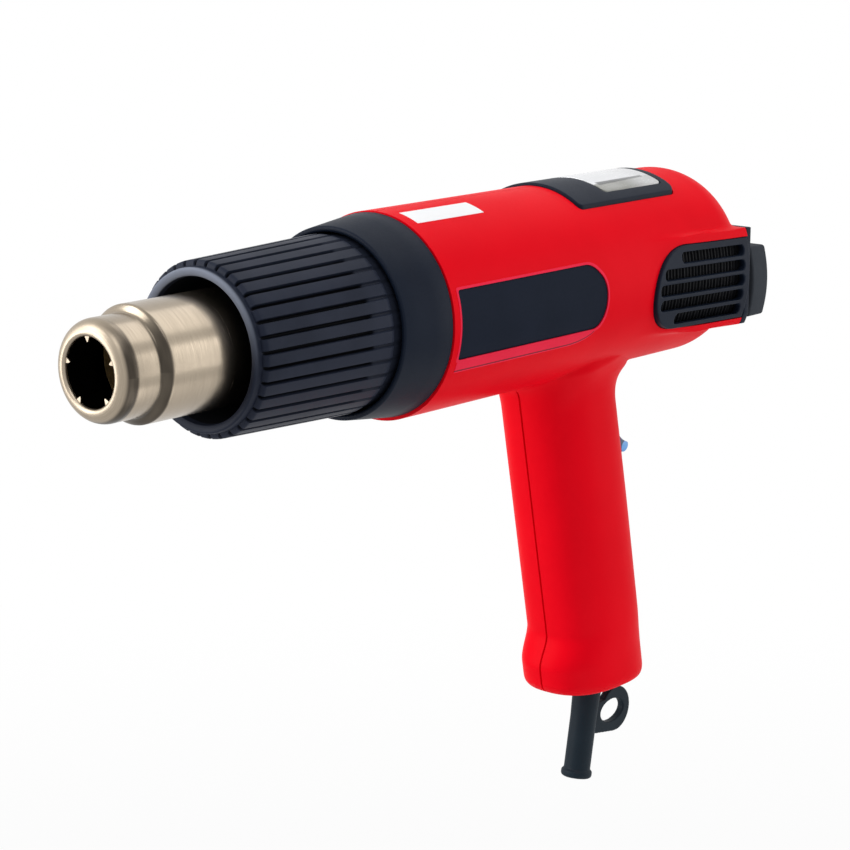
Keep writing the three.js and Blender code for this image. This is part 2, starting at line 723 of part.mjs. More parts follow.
function hangingLoop() {
  const x = reliefAxisX(LOOP_DOWN) + LOOP_BACK;
  const z = FOOT.z - LOOP_DOWN;
  const shape = new THREE.Shape();
  shape.absarc(x, z, LOOP_R, 0, 2 * Math.PI, false);
  const web = new THREE.Shape();
  const near = reliefAxisX(LOOP_DOWN);
  web.moveTo(near, z - LOOP_R * 0.65);
  web.lineTo(x, z - LOOP_R);
  web.lineTo(x, z + LOOP_R * 0.6);
  web.lineTo(near, z + LOOP_R * 0.6);
  web.closePath();
  const half = LOOP_THICK / 2;
  const plate = slabY(shape, -half, half, 24).add(slabY(web, -half, half));
  const hole = new THREE.Shape();
  hole.absellipse(x - LOOP_HOLE_FORE, z, LOOP_HOLE_LONG, LOOP_HOLE_HIGH, 0, 2 * Math.PI, false);
  return plate.subtract(slabY(hole, -SPLIT, SPLIT, 20));
}

function strainRelief() {
  return reliefTube(true).add(hangingLoop()).subtract(reliefTube(false));
}

function cordOpening() {
  return reliefFrame(rod(-4, RELIEF_LEN, RELIEF_TOP_R + GAP, 24));
}

// Electrics

const CLAMP_S = HANDLE_LEN - CLAMP_UP;
const BLOCK_S = CLAMP_S - BLOCK_UP;

function cordClamp() {
  const half = handleRoom(CLAMP_DEEP);
  const [s0, s1] = [CLAMP_S - CLAMP_HALF, CLAMP_S + CLAMP_HALF];
  const plate = handleBox(s0, s1, -CLAMP_DEEP, CLAMP_DEEP, -half, half);
  return plate.subtract(handleBox(s0 - 1, s1 + 1, -CORD_R, CORD_R, -CORD_R, CORD_R));
}

function terminalBlock() {
  const half = handleRoom(BLOCK_DEEP);
  const s0 = BLOCK_S - BLOCK_HALF;
  let block = handleBox(s0, BLOCK_S + BLOCK_HALF, -BLOCK_DEEP, BLOCK_DEEP, -half, half);
  for (const part of [-1, 0, 1]) {
    const u = part * ENTRY_PITCH;
    const [u0, u1] = [u - ENTRY_HALF, u + ENTRY_HALF];
    block = block.subtract(handleBox(s0 - 1, s0 + ENTRY_LONG, u0, u1, -half - 1, half - ENTRY_FLOOR));
  }
  return block;
}

function powerBoard() {
  const u = -HANDLE_DEPTH + WALL + BOARD_LIFT;
  const half = handleRoom(u);
  const inner = half - PART_EDGE;
  const s0 = SWITCH_AT - BOARD_LEAD;
  const s1 = BLOCK_S - BLOCK_HALF - BOARD_TAIL;
  const step = (s1 - s0) / 6;
  const top = u + BOARD_THICK + PART_HIGH;
  let board = handleBox(s0, s1, u, u + BOARD_THICK, -half, half);
  board = board.add(handleBox(s0 + step * 0.7, s0 + step * 2.5, u + 1, top, -inner, inner));
  return board.add(handleBox(s0 + step * 3.3, s0 + step * 5.1, u + 1, top, -inner, 0));
}

// Housing

function housing() {
  const from = GRILLE_FRONT + GRILLE_ROUND;
  const band = tilted(slabX(bandShape(0), from, BAND_END, 20));
  const hollow = tilted(slabX(bandShape(WALL), from - 1, BAND_END + 1, 20));
  const opening = tilted(slabY(grilleShape(0), -SPLIT, -BODY_R / 2, 10));
  let outer = barrelOuter().add(handleBody(0, HANDLE_STATIONS)).add(band);
  outer = outer.subtract(barrelInner()).subtract(handleInner()).subtract(hollow);
  for (const cut of [inlayRecess(), opening]) {
    outer = outer.subtract(cut).subtract(mirrorY(cut));
  }
  return outer.subtract(displayRecess()).subtract(displayWindow()).subtract(rearPocket())
    .subtract(switchOpening()).subtract(cordOpening());
}

function housingHalf(whole, sign) {
  const y0 = sign > 0 ? GAP / 2 : -SPLIT;
  const y1 = sign > 0 ? SPLIT : -GAP / 2;
  return whole.intersect(box(-SPLIT, SPLIT, y0, y1, -SPLIT, SPLIT));
}

// Front end

function frontCollar() {
  const tipR = COLLAR_R - COLLAR_DRAFT;
  const bore = SLEEVE_ROOT_R + GAP;
  const spigot = INNER_R - GAP;
  return revolve([
    [-COLLAR_LEN, bore], [-COLLAR_LEN, tipR - 0.8], [-COLLAR_LEN + 0.8, tipR],
    [-0.8, COLLAR_R - 0.05], [0, COLLAR_R - 0.6], [0, spigot], [6, spigot], [6, bore],
  ]);
}

// Ring of the heat shield: lands at one radius, groove floors between them at another.
function sleeveRing(x, land, floor) {
  const points = [];
  for (let i = 0; i < RIB_COUNT; i += 1) {
    const pitch = (2 * Math.PI) / RIB_COUNT;
    const steps = [[-0.35, land], [0.35, land], [0.5, floor]];
    for (const [part, radius] of steps) {
      const angle = (i + part) * pitch;
      points.push(new THREE.Vector3(x, radius * Math.cos(angle), radius * Math.sin(angle)));
    }
  }
  return points;
}

const LIP_R = SLEEVE_TIP_R - RIB_DEPTH + 0.1;

function heatShield() {
  const at = (part) => -SLEEVE_REACH * (1 - part);
  const land = (part) => SLEEVE_TIP_R + (SLEEVE_ROOT_R - SLEEVE_TIP_R) * Math.min(1, part / 0.7);
  // Each row: part of the reach behind the front lip, radius of the lands, radius of the floors.
  const rows = [
    [0, LIP_R - 0.3, LIP_R - 0.3], [0.028, LIP_R, LIP_R],
    [0.044, land(0.044), land(0.044) - RIB_DEPTH],
    [0.6, land(0.6), land(0.6) - RIB_DEPTH], [0.615, land(0.62), land(0.62) - RIB_DEPTH * 0.5],
    [0.7, land(0.7), land(0.7) - RIB_DEPTH * 0.5],
  ];
  const rings = rows.map(([part, top, floor]) => sleeveRing(at(part), top, floor));
  const root = SLEEVE_ROOT_R - RIB_DEPTH * 0.4;
  const seat = -COLLAR_LEN * 0.4;
  const spigot = [[at(0.71), root], [seat, root], [seat + 0.2, SLEEVE_ROOT_R], [4, SLEEVE_ROOT_R]];
  spigot.forEach(([x, radius]) => rings.push(sleeveRing(x, radius, radius)));
  const bore = SLEEVE_TIP_R - RIB_DEPTH - SLEEVE_WALL;
  const floor = SLEEVE_ROOT_R - RIB_DEPTH - SLEEVE_WALL;
  const hollow = revolve([
    [-SLEEVE_REACH - 5, 0], [-SLEEVE_REACH - 5, bore], [-SLEEVE_REACH * 0.8, bore],
    [-COLLAR_LEN, floor], [9, floor], [9, 0],
  ], 40);
  return loft(rings).subtract(hollow);
}

function nozzleTube() {
  const mouth = -NOZZLE_REACH;
  const inner = TUBE_R - TUBE_WALL;
  const crest = MOUTH_R + ROLL_WIDE * 0.22;
  const outside = [[mouth + TUBE_WALL, MOUTH_R]];
  for (const part of [0, 0.2, 0.45, 0.72, 1]) {
    const angle = (part * Math.PI) / 2;
    outside.push([mouth + ROLL_LONG * (1 - Math.cos(angle)), crest + (TIP_R - crest) * Math.sin(angle)]);
  }
  outside.push([mouth + STEP_AT - SHOULDER, TIP_R]);
  outside.push([mouth + STEP_AT + SHOULDER, TUBE_R]);
  const rear = 8;
  const flange = TUBE_R + 3;
  const inside = [
    [rear - 2, TUBE_R], [rear - 2, flange], [rear, flange], [rear, inner],
    [mouth + STEP_AT + SHOULDER + TUBE_WALL, inner], [mouth + STEP_AT, TIP_R - TUBE_WALL],
    [mouth + ROLL_LONG, TIP_R - TUBE_WALL], [mouth + ROLL_LONG * 0.5, TIP_R - 2 * TUBE_WALL],
    [mouth + 2 * TUBE_WALL, MOUTH_R + TUBE_WALL],
  ];
  let tube = revolve([...outside, ...inside], 36);
  for (let i = 0; i < TAB_COUNT; i += 1) {
    const shape = new THREE.Shape();
    shape.moveTo(-1.3, MOUTH_R + 0.8);
    shape.lineTo(1.3, MOUTH_R + 0.8);
    shape.lineTo(0.5, MOUTH_R - 2);
    shape.lineTo(-0.5, MOUTH_R - 2);
    shape.closePath();
    const turn = (i * 360) / TAB_COUNT - 5;
    tube = tube.add(slabX(shape, mouth + TUBE_WALL, mouth + 2 * TUBE_WALL - 0.3).rotate([turn, 0, 0]));
  }
  return tube;
}

// Heater

const HEATER_FRONT = -NOZZLE_REACH + STEP_AT + 6;
const MICA_R = TUBE_R - TUBE_WALL - GAP;
const MICA_WALL = 0.7;

function micaSleeve() {
  return ring(HEATER_FRONT, 7, MICA_R, MICA_R - MICA_WALL, 36);
}

function heaterCore() {
  let core = rod(HEATER_FRONT + 3, 5, 4.4, 20);
  for (const turn of [0, 45, 90, 135]) {
    core = core.add(box(HEATER_FRONT + 3, 5, -CORE_R, CORE_R, -1.1, 1.1).rotate([turn, 0, 0]));
  }
  let disc = ring(1, 5, MICA_R - MICA_WALL - 2 * GAP, 3, 24);
  for (let i = 0; i < 8; i += 1) {
    const angle = (i + 0.5) * 45 * DEG;
    const [y, z] = [CORE_R * 0.75 * Math.cos(angle), CORE_R * 0.75 * Math.sin(angle)];
    disc = disc.subtract(rod(-2, 9, 2.4, 5).translate([0, y, z]));
  }
  return core.add(disc);
}

const COIL_STEPS = 10; // straight pieces to a loop
const COIL_R = (CORE_R + GAP + WIRE_R) / Math.cos(Math.PI / COIL_STEPS);
const WIRE_SIDES = 4;
const COIL_FRONT = HEATER_FRONT + 8;
const COIL_REAR = -8;

class CoilCurve extends THREE.Curve {
  getPoint(t, target = new THREE.Vector3()) {
    const angle = 2 * Math.PI * COIL_LOOPS * t;
    return target.set(COIL_FRONT + (COIL_REAR - COIL_FRONT) * t,
      COIL_R * Math.cos(angle), COIL_R * Math.sin(angle));
  }
}

function heaterCoil() {
  const between = (COIL_REAR - COIL_FRONT) / COIL_LOOPS - 2 * WIRE_R;
  console.error(`heater_coil least gap between loops ${between.toFixed(2)} mm`);
  const wire = new THREE.Shape();
  for (let i = 0; i < WIRE_SIDES; i += 1) {
    const angle = (i * 2 * Math.PI) / WIRE_SIDES;
    const [x, y] = [WIRE_R * Math.cos(angle), WIRE_R * Math.sin(angle)];
    if (i === 0) {
      wire.moveTo(x, y);
    } else {
      wire.lineTo(x, y);
    }
  }
  wire.closePath();
  const geometry = new THREE.ExtrudeGeometry(wire, {
    steps: COIL_LOOPS * COIL_STEPS, bevelEnabled: false, extrudePath: new CoilCurve(),
  });
  return solidOf(geometry);
}

function heaterFlange() {
  let disc = ring(8 + GAP, 11.3, INNER_R - GAP, 6, 36);
  for (let i = 0; i < 6; i += 1) {
    const angle = i * 60 * DEG;
    const [y, z] = [CORE_R * Math.cos(angle), CORE_R * Math.sin(angle)];
    disc = disc.subtract(rod(5, 15, 4.4, 6).translate([0, y, z]));
  }
  return disc;
}

// Blower

const CAN_WALL = 2;
const BORE = SHAFT_R + GAP;

function motorCan() {
  const rear = MOTOR_AT + MOTOR_LEN;
  return revolve([
    [MOTOR_AT, BORE], [MOTOR_AT, MOTOR_R], [rear, MOTOR_R], [rear, 7], [rear + 4, 6], [rear + 4, BORE],
    [rear - 3, BORE], [rear - 3, MOTOR_R - CAN_WALL], [MOTOR_AT + 3, MOTOR_R - CAN_WALL],
    [MOTOR_AT + 3, BORE],
  ], 24);
}

function motorShaft() {
  return rod(MOTOR_AT - FAN_LEN - 6, MOTOR_AT + MOTOR_LEN + 2, SHAFT_R, 16);
}

function armature() {
  const radius = MOTOR_R - CAN_WALL - 1.2;
  const [x0, x1] = [MOTOR_AT + 7, MOTOR_AT + MOTOR_LEN - 13];
  let core = ring(x0, x1, radius, BORE, 20);
  for (let i = 0; i < 7; i += 1) {
    const slot = box(x0 - 1, x1 + 1, radius - 3.4, radius + 1, -0.9, 0.9);
    core = core.subtract(slot.rotate([(i * 360) / 7, 0, 0]));
  }
  return core.add(ring(x1 - 0.5, x1 + 7, radius * 0.5, BORE, 16));
}

function blowerFan() {
  const front = MOTOR_AT - 3 - FAN_LEN;
  const radius = INNER_R - 4;
  const rear = front + FAN_LEN;
  const hub = [[front, BORE], [front, 6.4], [rear - 1, 9], [rear - 1, BORE]];
  let fan = ring(rear - 2, rear, radius, BORE, 32).add(revolve(hub, 16));
  for (let i = 0; i < FAN_BLADES; i += 1) {
    const blade = box(front + 2, rear - 1, 7, radius - 0.8, -0.8, 0.8);
    const swept = blade.rotate([18, 0, 0]).translate([0, 0, -2.6]);
    fan = fan.add(swept.rotate([(i * 360) / FAN_BLADES, 0, 0]));
  }
  return fan;
}

function motorMount() {
  const [x0, x1] = [MOTOR_AT + 6, MOTOR_AT + 16];
  const hub = MOTOR_R + GAP;
  const outer = INNER_R - GAP;
  let mount = ring(x0, x1, hub + 2, hub, 28);
  for (const turn of [0, 180]) {
    mount = mount.add(box(x0, x1, hub + 1, outer, -3, 3).rotate([turn, 0, 0]));
    mount = mount.add(box(x0, x1, hub - 6, outer * 0.8, -2, 2).rotate([turn + 42, 0, 0])
      .subtract(rod(x0 - 1, x1 + 1, hub, 28)));
  }
  return mount;
}

// Assembly

const RED = [0xd0121c, 0.38, 0];
const BLACK = [0x23282f, 0.55, 0];
const INK = [0x1a1e25, 0.4, 0];
const STEEL = [0xc8b89c, 0.32, 0.95];

const group = new THREE.Group();
group.name = 'hot_air_tool';

function put(name, solid, [color, roughness, metalness]) {
  const moved = solid.translate([-STAND_REAR, 0, STAND_LOW]);
  const raw = moved.getMesh();
  const geometry = new THREE.BufferGeometry();
  const corners = new Float32Array(raw.vertProperties);
  geometry.setAttribute('position', new THREE.BufferAttribute(corners, 3));
  geometry.setIndex(new THREE.BufferAttribute(new Uint32Array(raw.triVerts), 1));
  geometry.computeVertexNormals();
  const material = new THREE.MeshStandardMaterial({ color, roughness, metalness });
  const mesh = new THREE.Mesh(geometry, material);
  mesh.name = name;
  group.add(mesh);
}

const whole = housing();
put('housing_left', housingHalf(whole, -1), RED);
put('housing_right', housingHalf(whole, 1), RED);
put('front_collar', frontCollar(), BLACK);
put('heat_shield', heatShield(), BLACK);
put('nozzle_tube', nozzleTube(), STEEL);
put('mica_sleeve', micaSleeve(), [0xb49a6a, 0.6, 0]);
put('heater_core', heaterCore(), [0xe6e0d2, 0.8, 0]);
put('heater_coil', heaterCoil(), [0x8a8680, 0.4, 0.9]);
put('heater_flange', heaterFlange(), [0xa08a5c, 0.6, 0]);
const inlay = inlayLeft();
put('side_inlay_left', inlay, INK);
put('side_inlay_right', mirrorY(inlay), INK);
const grille = intakeGrille();
put('intake_grille_left', grille, BLACK);
put('intake_grille_right', mirrorY(grille), BLACK);
const screen = dustScreen();
put('dust_screen_left', screen, [0x15171a, 0.7, 0.2]);
put('dust_screen_right', mirrorY(screen), [0x15171a, 0.7, 0.2]);
put('rear_cover', rearCover(), BLACK);
put('rear_stand', rearStand(), [0x2b3037, 0.7, 0]);
put('display_bezel', displayBezel(), BLACK);
put('display_lens', displayLens(), [0xd7d9d8, 0.1, 0]);
put('display_module', displayModule(), [0xb9beb0, 0.3, 0]);
put('display_board', displayBoard(), [0x2c6b3a, 0.5, 0]);
put('switch_body', switchBody(), [0x1c1f24, 0.5, 0]);
put('switch_rocker', switchRocker(), [0x3f7cc8, 0.25, 0]);
put('power_board', powerBoard(), [0x2c6b3a, 0.5, 0]);
put('terminal_block', terminalBlock(), [0xd9d5c8, 0.5, 0]);
put('cord_clamp', cordClamp(), [0x2a2d31, 0.6, 0]);
put('strain_relief', strainRelief(), [0x20242a, 0.65, 0]);
put('motor_can', motorCan(), [0xa9adb0, 0.35, 0.9]);
put('motor_mount', motorMount(), [0x3a3f45, 0.6, 0]);
put('motor_shaft', motorShaft(), [0xc9ccce, 0.25, 1]);
put('armature', armature(), [0x8c5a34, 0.45, 0.7]);
put('blower_fan', blowerFan(), [0x2e3338, 0.5, 0]);

export default group;
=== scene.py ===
"""Looks of a pistol-grip hot air tool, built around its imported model.

Shapes are laid out in millimetres from the rear plane of the front collar on the barrel axis:
+X runs to the rear, +Z up, and the left side is -Y. Layout turns them into the frame's metres.
"""

import logging
import math
from dataclasses import dataclass
from enum import Enum
from typing import Callable, Sequence

import bmesh
import bpy
import numpy as np
from mathutils import Matrix, Vector


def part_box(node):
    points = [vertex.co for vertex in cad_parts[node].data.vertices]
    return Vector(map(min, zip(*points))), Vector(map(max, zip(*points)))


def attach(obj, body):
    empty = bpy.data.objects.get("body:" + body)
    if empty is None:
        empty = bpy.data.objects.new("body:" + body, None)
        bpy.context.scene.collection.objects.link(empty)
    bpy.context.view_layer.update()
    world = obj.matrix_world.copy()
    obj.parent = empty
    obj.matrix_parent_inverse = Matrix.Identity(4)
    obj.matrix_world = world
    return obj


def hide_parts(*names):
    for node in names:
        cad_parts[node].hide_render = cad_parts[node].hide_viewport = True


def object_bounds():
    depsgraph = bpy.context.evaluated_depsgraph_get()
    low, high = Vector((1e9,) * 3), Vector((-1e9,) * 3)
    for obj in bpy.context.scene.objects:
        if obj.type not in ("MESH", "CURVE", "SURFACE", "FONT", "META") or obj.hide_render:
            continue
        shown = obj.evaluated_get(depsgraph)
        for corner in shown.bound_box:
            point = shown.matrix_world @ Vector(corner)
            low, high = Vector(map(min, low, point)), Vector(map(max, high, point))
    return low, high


LOG = logging.getLogger("hot_air_tool")
MM = 0.001
FAR = 300.0  # reach of the blocks that split and trim
TOOL = "tool"
ROCKER = "rocker"

Point2 = tuple[float, float]
Colour = tuple[float, float, float]

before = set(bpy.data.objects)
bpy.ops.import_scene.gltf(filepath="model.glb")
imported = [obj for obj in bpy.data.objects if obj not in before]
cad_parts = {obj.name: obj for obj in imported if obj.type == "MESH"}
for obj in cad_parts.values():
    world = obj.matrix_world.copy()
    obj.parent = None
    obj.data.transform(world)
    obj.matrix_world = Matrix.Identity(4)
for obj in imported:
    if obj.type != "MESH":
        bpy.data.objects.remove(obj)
CAD_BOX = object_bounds()


def smooth(value: np.ndarray | float) -> np.ndarray | float:
    """Eased share of a way from 0 to 1, clamped at its ends."""
    t = np.clip(value, 0.0, 1.0)
    return t * t * (3.0 - 2.0 * t)


def srgb(red: int, green: int, blue: int) -> Colour:
    """Linear colour of a screen colour, whose parts go from 0 to 255."""
    parts = [c / 255.0 for c in (red, green, blue)]
    return tuple(c / 12.92 if c <= 0.04045 else ((c + 0.055) / 1.055) ** 2.4 for c in parts)


@dataclass(frozen=True)
class Layout:
    """Where the collar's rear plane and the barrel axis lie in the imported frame, in millimetres."""

    plane_x: float
    axis_z: float

    @classmethod
    def from_frame(cls, collar_len: float) -> "Layout":
        """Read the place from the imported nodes.

        Args:
            collar_len: Length of the collar ahead of its rear plane.

        Returns:
            The layout.
        """
        low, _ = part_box("front_collar")
        bottom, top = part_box("nozzle_tube")
        return cls(low.x / MM + collar_len, (bottom.z + top.z) / 2 / MM)

    def to_scene(self, points: np.ndarray) -> np.ndarray:
        """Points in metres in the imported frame."""
        return (points + np.array((self.plane_x, 0.0, self.axis_z))) * MM


class Cut(Enum):
    """How one solid changes another."""

    JOIN = "UNION"
    TAKE = "DIFFERENCE"
    KEEP = "INTERSECT"


class Facing(Enum):
    """Axis along which an outline is raised."""

    X = 0
    Y = 1
    Z = 2


class Solid:
    """A closed mesh in millimetres that can be joined and cut."""

    def __init__(self, mesh: bpy.types.Mesh) -> None:
        """Keep the mesh."""
        self.mesh = mesh

    @classmethod
    def of(cls, points: np.ndarray, faces: Sequence[Sequence[int]]) -> "Solid":
        """Make a solid whose faces look outwards.

        Args:
            points: Corner points.
            faces: Corner numbers of each face.

        Returns:
            The solid.
        """
        mesh = bpy.data.meshes.new("solid")
        mesh.from_pydata([tuple(p) for p in points], [], [tuple(f) for f in faces])
        work = bmesh.new()
        work.from_mesh(mesh)
        bmesh.ops.recalc_face_normals(work, faces=work.faces)
        if work.calc_volume(signed=True) < 0:
            bmesh.ops.reverse_faces(work, faces=work.faces)
        work.to_mesh(mesh)
        work.free()
        return cls(mesh)

    def _through(self, *steps: tuple[str, dict[str, object]]) -> "Solid":
        """The solid after a row of modifiers.

        Args:
            steps: Kind and settings of each modifier.

        Returns:
            The changed solid.
        """
        item = bpy.data.objects.new("solid", self.mesh)
        bpy.context.scene.collection.objects.link(item)
        for kind, settings in steps:
            modifier = item.modifiers.new(kind, kind)
            for key, value in settings.items():
                setattr(modifier, key, value)
        graph = bpy.context.evaluated_depsgraph_get()
        made = bpy.data.meshes.new_from_object(item.evaluated_get(graph))
        bpy.data.objects.remove(item)
        return Solid(made)

    def _combine(self, other: "Solid", cut: Cut) -> "Solid":
        """Join or cut with another solid.

        Args:
            other: The second solid.
            cut: What is done with it.

        Returns:
            The new solid.
        """
        tool = bpy.data.objects.new("cutter", other.mesh)
        bpy.context.scene.collection.objects.link(tool)
        made = self._through(("BOOLEAN", {"operation": cut.value, "object": tool, "solver": "MANIFOLD"}))
        bpy.data.objects.remove(tool)
        return made

    def __add__(self, other: "Solid") -> "Solid":
        """Both solids as one."""
        return self._combine(other, Cut.JOIN)

    def __sub__(self, other: "Solid") -> "Solid":
        """This solid without the other."""
        return self._combine(other, Cut.TAKE)

    def __and__(self, other: "Solid") -> "Solid":
        """What both solids share."""
        return self._combine(other, Cut.KEEP)

    def mirrored(self) -> "Solid":
        """The same solid on the other side of the middle plane.

        Returns:
            The mirrored copy.
        """
        copy = self.mesh.copy()
        copy.transform(Matrix.Diagonal((1.0, -1.0, 1.0, 1.0)))
        copy.flip_normals()
        return Solid(copy)

    def edited(self, change: Callable[[bmesh.types.BMesh], None]) -> "Solid":
        """A copy changed by a mesh function.

        Args:
            change: Function that changes the mesh in place.

        Returns:
            The changed copy.
        """
        work = bmesh.new()
        work.from_mesh(self.mesh)
        change(work)
        made = bpy.data.meshes.new("solid")
        work.to_mesh(made)
        work.free()
        return Solid(made)

    def eased(self, width: float, segments: int, angle: float) -> "Solid":
        """The solid with its sharp edges rounded.

        Args:
            width: Width of the rounding.
            segments: Steps across it.
            angle: Edges sharper than this, in degrees, are rounded.

        Returns:
            The rounded solid.
        """
        return self._through(("BEVEL", {
            "width": width,
            "segments": segments,
            "limit_method": "ANGLE",
            "angle_limit": math.radians(angle),
            "use_clamp_overlap": False,
            "loop_slide": True,
        }))

    def joined_close(self, distance: float) -> "Solid":
        """The solid without edges shorter than a distance."""
        return self.edited(lambda work: bmesh.ops.remove_doubles(work, verts=work.verts, dist=distance))

    def moulded(self, voxel: float, passes: int) -> "Solid":
        """The solid as one soft skin, with faces of a voxel's size, smoothed in a number of passes."""
        skin = ("REMESH", {"mode": "VOXEL", "voxel_size": voxel})
        return self._through(skin, ("SMOOTH", {"factor": 0.5, "iterations": passes}))


def loft(rings: np.ndarray, capped: bool = True) -> Solid:
    """Closed body through rings of points.

    Args:
        rings: Rings, points in a ring, and coordinates.
        capped: True closes the ends, False joins the last ring to the first.

    Returns:
        The body.
    """
    count, size = rings.shape[:2]
    faces: list[tuple[int, ...]] = []
    for k in range(count - 1 if capped else count):
        here, there = k * size, (k + 1) % count * size
        for i in range(size):
            j = (i + 1) % size
            faces.append((here + i, here + j, there + j, there + i))
    if capped:
        faces.append(tuple(range(size)))
        faces.append(tuple(range((count - 1) * size, count * size)))
    return Solid.of(rings.reshape(-1, 3), faces)


def sheet(top: np.ndarray, bottom: np.ndarray) -> Solid:
    """Closed plate between two grids of points.

    Args:
        top: Rows, columns and coordinates of one face.
        bottom: The same for the other face.

    Returns:
        The plate.
    """
    rows, columns = top.shape[:2]
    total = rows * columns
    faces: list[tuple[int, ...]] = []
    for i in range(rows - 1):
        for j in range(columns - 1):
            a = i * columns + j
            quad = (a, a + 1, a + columns + 1, a + columns)
            faces.append(quad)
            faces.append(tuple(total + n for n in reversed(quad)))
    edge = list(range(columns))
    edge += [i * columns + columns - 1 for i in range(1, rows)]
    edge += [(rows - 1) * columns + j for j in range(columns - 2, -1, -1)]
    edge += [i * columns for i in range(rows - 2, 0, -1)]
    for n, a in enumerate(edge):
        b = edge[(n + 1) % len(edge)]
        faces.append((b, a, total + a, total + b))
    return Solid.of(np.concatenate([top.reshape(-1, 3), bottom.reshape(-1, 3)]), faces)


@dataclass(frozen=True)
class Spindle:
    """A straight axis in the middle plane about which round pieces are turned."""

    x: float = 0.0
    z: float = 0.0
    lean: float = 0.0  # radians the axis dips below +X

    def ring(self, along: float, radius: np.ndarray | float, sides: int) -> np.ndarray:
        """Points of one ring.

        Args:
            along: Distance along the axis.
            radius: One radius, or one for each point.
            sides: Number of points.

        Returns:
            The points.
        """
        angle = np.linspace(0.0, 2.0 * math.pi, sides, endpoint=False)
        side, up = radius * np.cos(angle), radius * np.sin(angle)
        cos, sin = math.cos(self.lean), math.sin(self.lean)
        return np.stack([self.x + along * cos + up * sin, side, self.z - along * sin + up * cos], axis=1)

    def turned(self, profile: Sequence[Point2], sides: int, hollow: bool = True) -> Solid:
        """Body turned from a profile of distances and radii, closed on itself if hollow, else with discs."""
        rings = np.stack([self.ring(along, radius, sides) for along, radius in profile])
        return loft(rings, capped=not hollow)


BARREL = Spindle()


@dataclass(frozen=True)
class Skin:
    """Round surface of the barrel, whose front underside hangs a little."""

    radius: float = 36.4
    sag: float = 0.9
    length: float = 188.0

    def drop(self, x: float, angle: np.ndarray) -> np.ndarray:
        """How far the surface hangs below the circle at angles from +Y towards +Z."""
        share = 1.0 - float(smooth((x / self.length - 0.33) / 0.3))
        return self.sag * share * np.maximum(0.0, -np.sin(angle)) ** 2

    def tube(self, x0: float, x1: float, outer: float, inner: float, sides: int = 480) -> Solid:
        """Tube that follows the surface.

        Args:
            x0: Front end.
            x1: Rear end.
            outer: Outer radius.
            inner: Inner radius.
            sides: Points round it.

        Returns:
            The tube.
        """
        angle = np.linspace(0.0, 2.0 * math.pi, sides, endpoint=False)
        xs = np.linspace(x0, x1, 20)
        rings = [BARREL.ring(x, outer + self.drop(x, angle), sides) for x in xs]
        rings += [BARREL.ring(x, inner + self.drop(x, angle), sides) for x in xs[::-1]]
        return loft(np.stack(rings), capped=False)


def block(low: Sequence[float], high: Sequence[float]) -> Solid:
    """Straight block between two corners."""
    (x0, y0, z0), (x1, y1, z1) = low, high
    return raised([(x0, y0), (x1, y0), (x1, y1), (x0, y1)], Facing.Z, z0, z1)


def raised(outline: Sequence[Point2], facing: Facing, start: float, end: float) -> Solid:
    """Straight body over an outline.

    Args:
        outline: Points in the two other axes, in X, Y, Z order.
        facing: Axis along which the outline is raised.
        start: Where it starts on that axis.
        end: Where it ends.

    Returns:
        The body.
    """
    flat = np.array(outline)
    rings = [np.insert(flat, facing.value, value, axis=1) for value in (start, end)]
    return loft(np.stack(rings))


def arc(middle: Point2, radii: Point2, start: float, end: float, steps: int) -> list[Point2]:
    """Points along an ellipse of that middle and those radii, in steps between two angles in degrees."""
    turns = np.radians(np.linspace(start, end, steps + 1))
    return [(middle[0] + radii[0] * math.cos(t), middle[1] + radii[1] * math.sin(t)) for t in turns]


def bend(start: Point2, pull: Point2, end: Point2, steps: int) -> list[Point2]:
    """Points along a curve between two points, drawn to a third.

    Args:
        start: First point.
        pull: Point that draws the curve.
        end: Last point.
        steps: Number of steps.

    Returns:
        The points, without the first.
    """
    made = []
    for n in range(1, steps + 1):
        t = n / steps
        parts = [(1 - t) ** 2 * a + 2 * t * (1 - t) * b + t * t * c for a, b, c in zip(start, pull, end)]
        made.append((parts[0], parts[1]))
    return made


def rounded_box(x0: float, x1: float, y0: float, y1: float, radius: float, steps: int = 6) -> list[Point2]:
    """Outline of a rectangle with round corners.

    Args:
        x0: Least first coordinate.
        x1: Largest first coordinate.
        y0: Least second coordinate.
        y1: Largest second coordinate.
        radius: Corner radius.
        steps: Steps in a corner.

    Returns:
        The outline.
    """
    both = (radius, radius)
    made = arc((x1 - radius, y0 + radius), both, -90, 0, steps)
    made += arc((x1 - radius, y1 - radius), both, 0, 90, steps)
    made += arc((x0 + radius, y1 - radius), both, 90, 180, steps)
    return made + arc((x0 + radius, y0 + radius), both, 180, 270, steps)


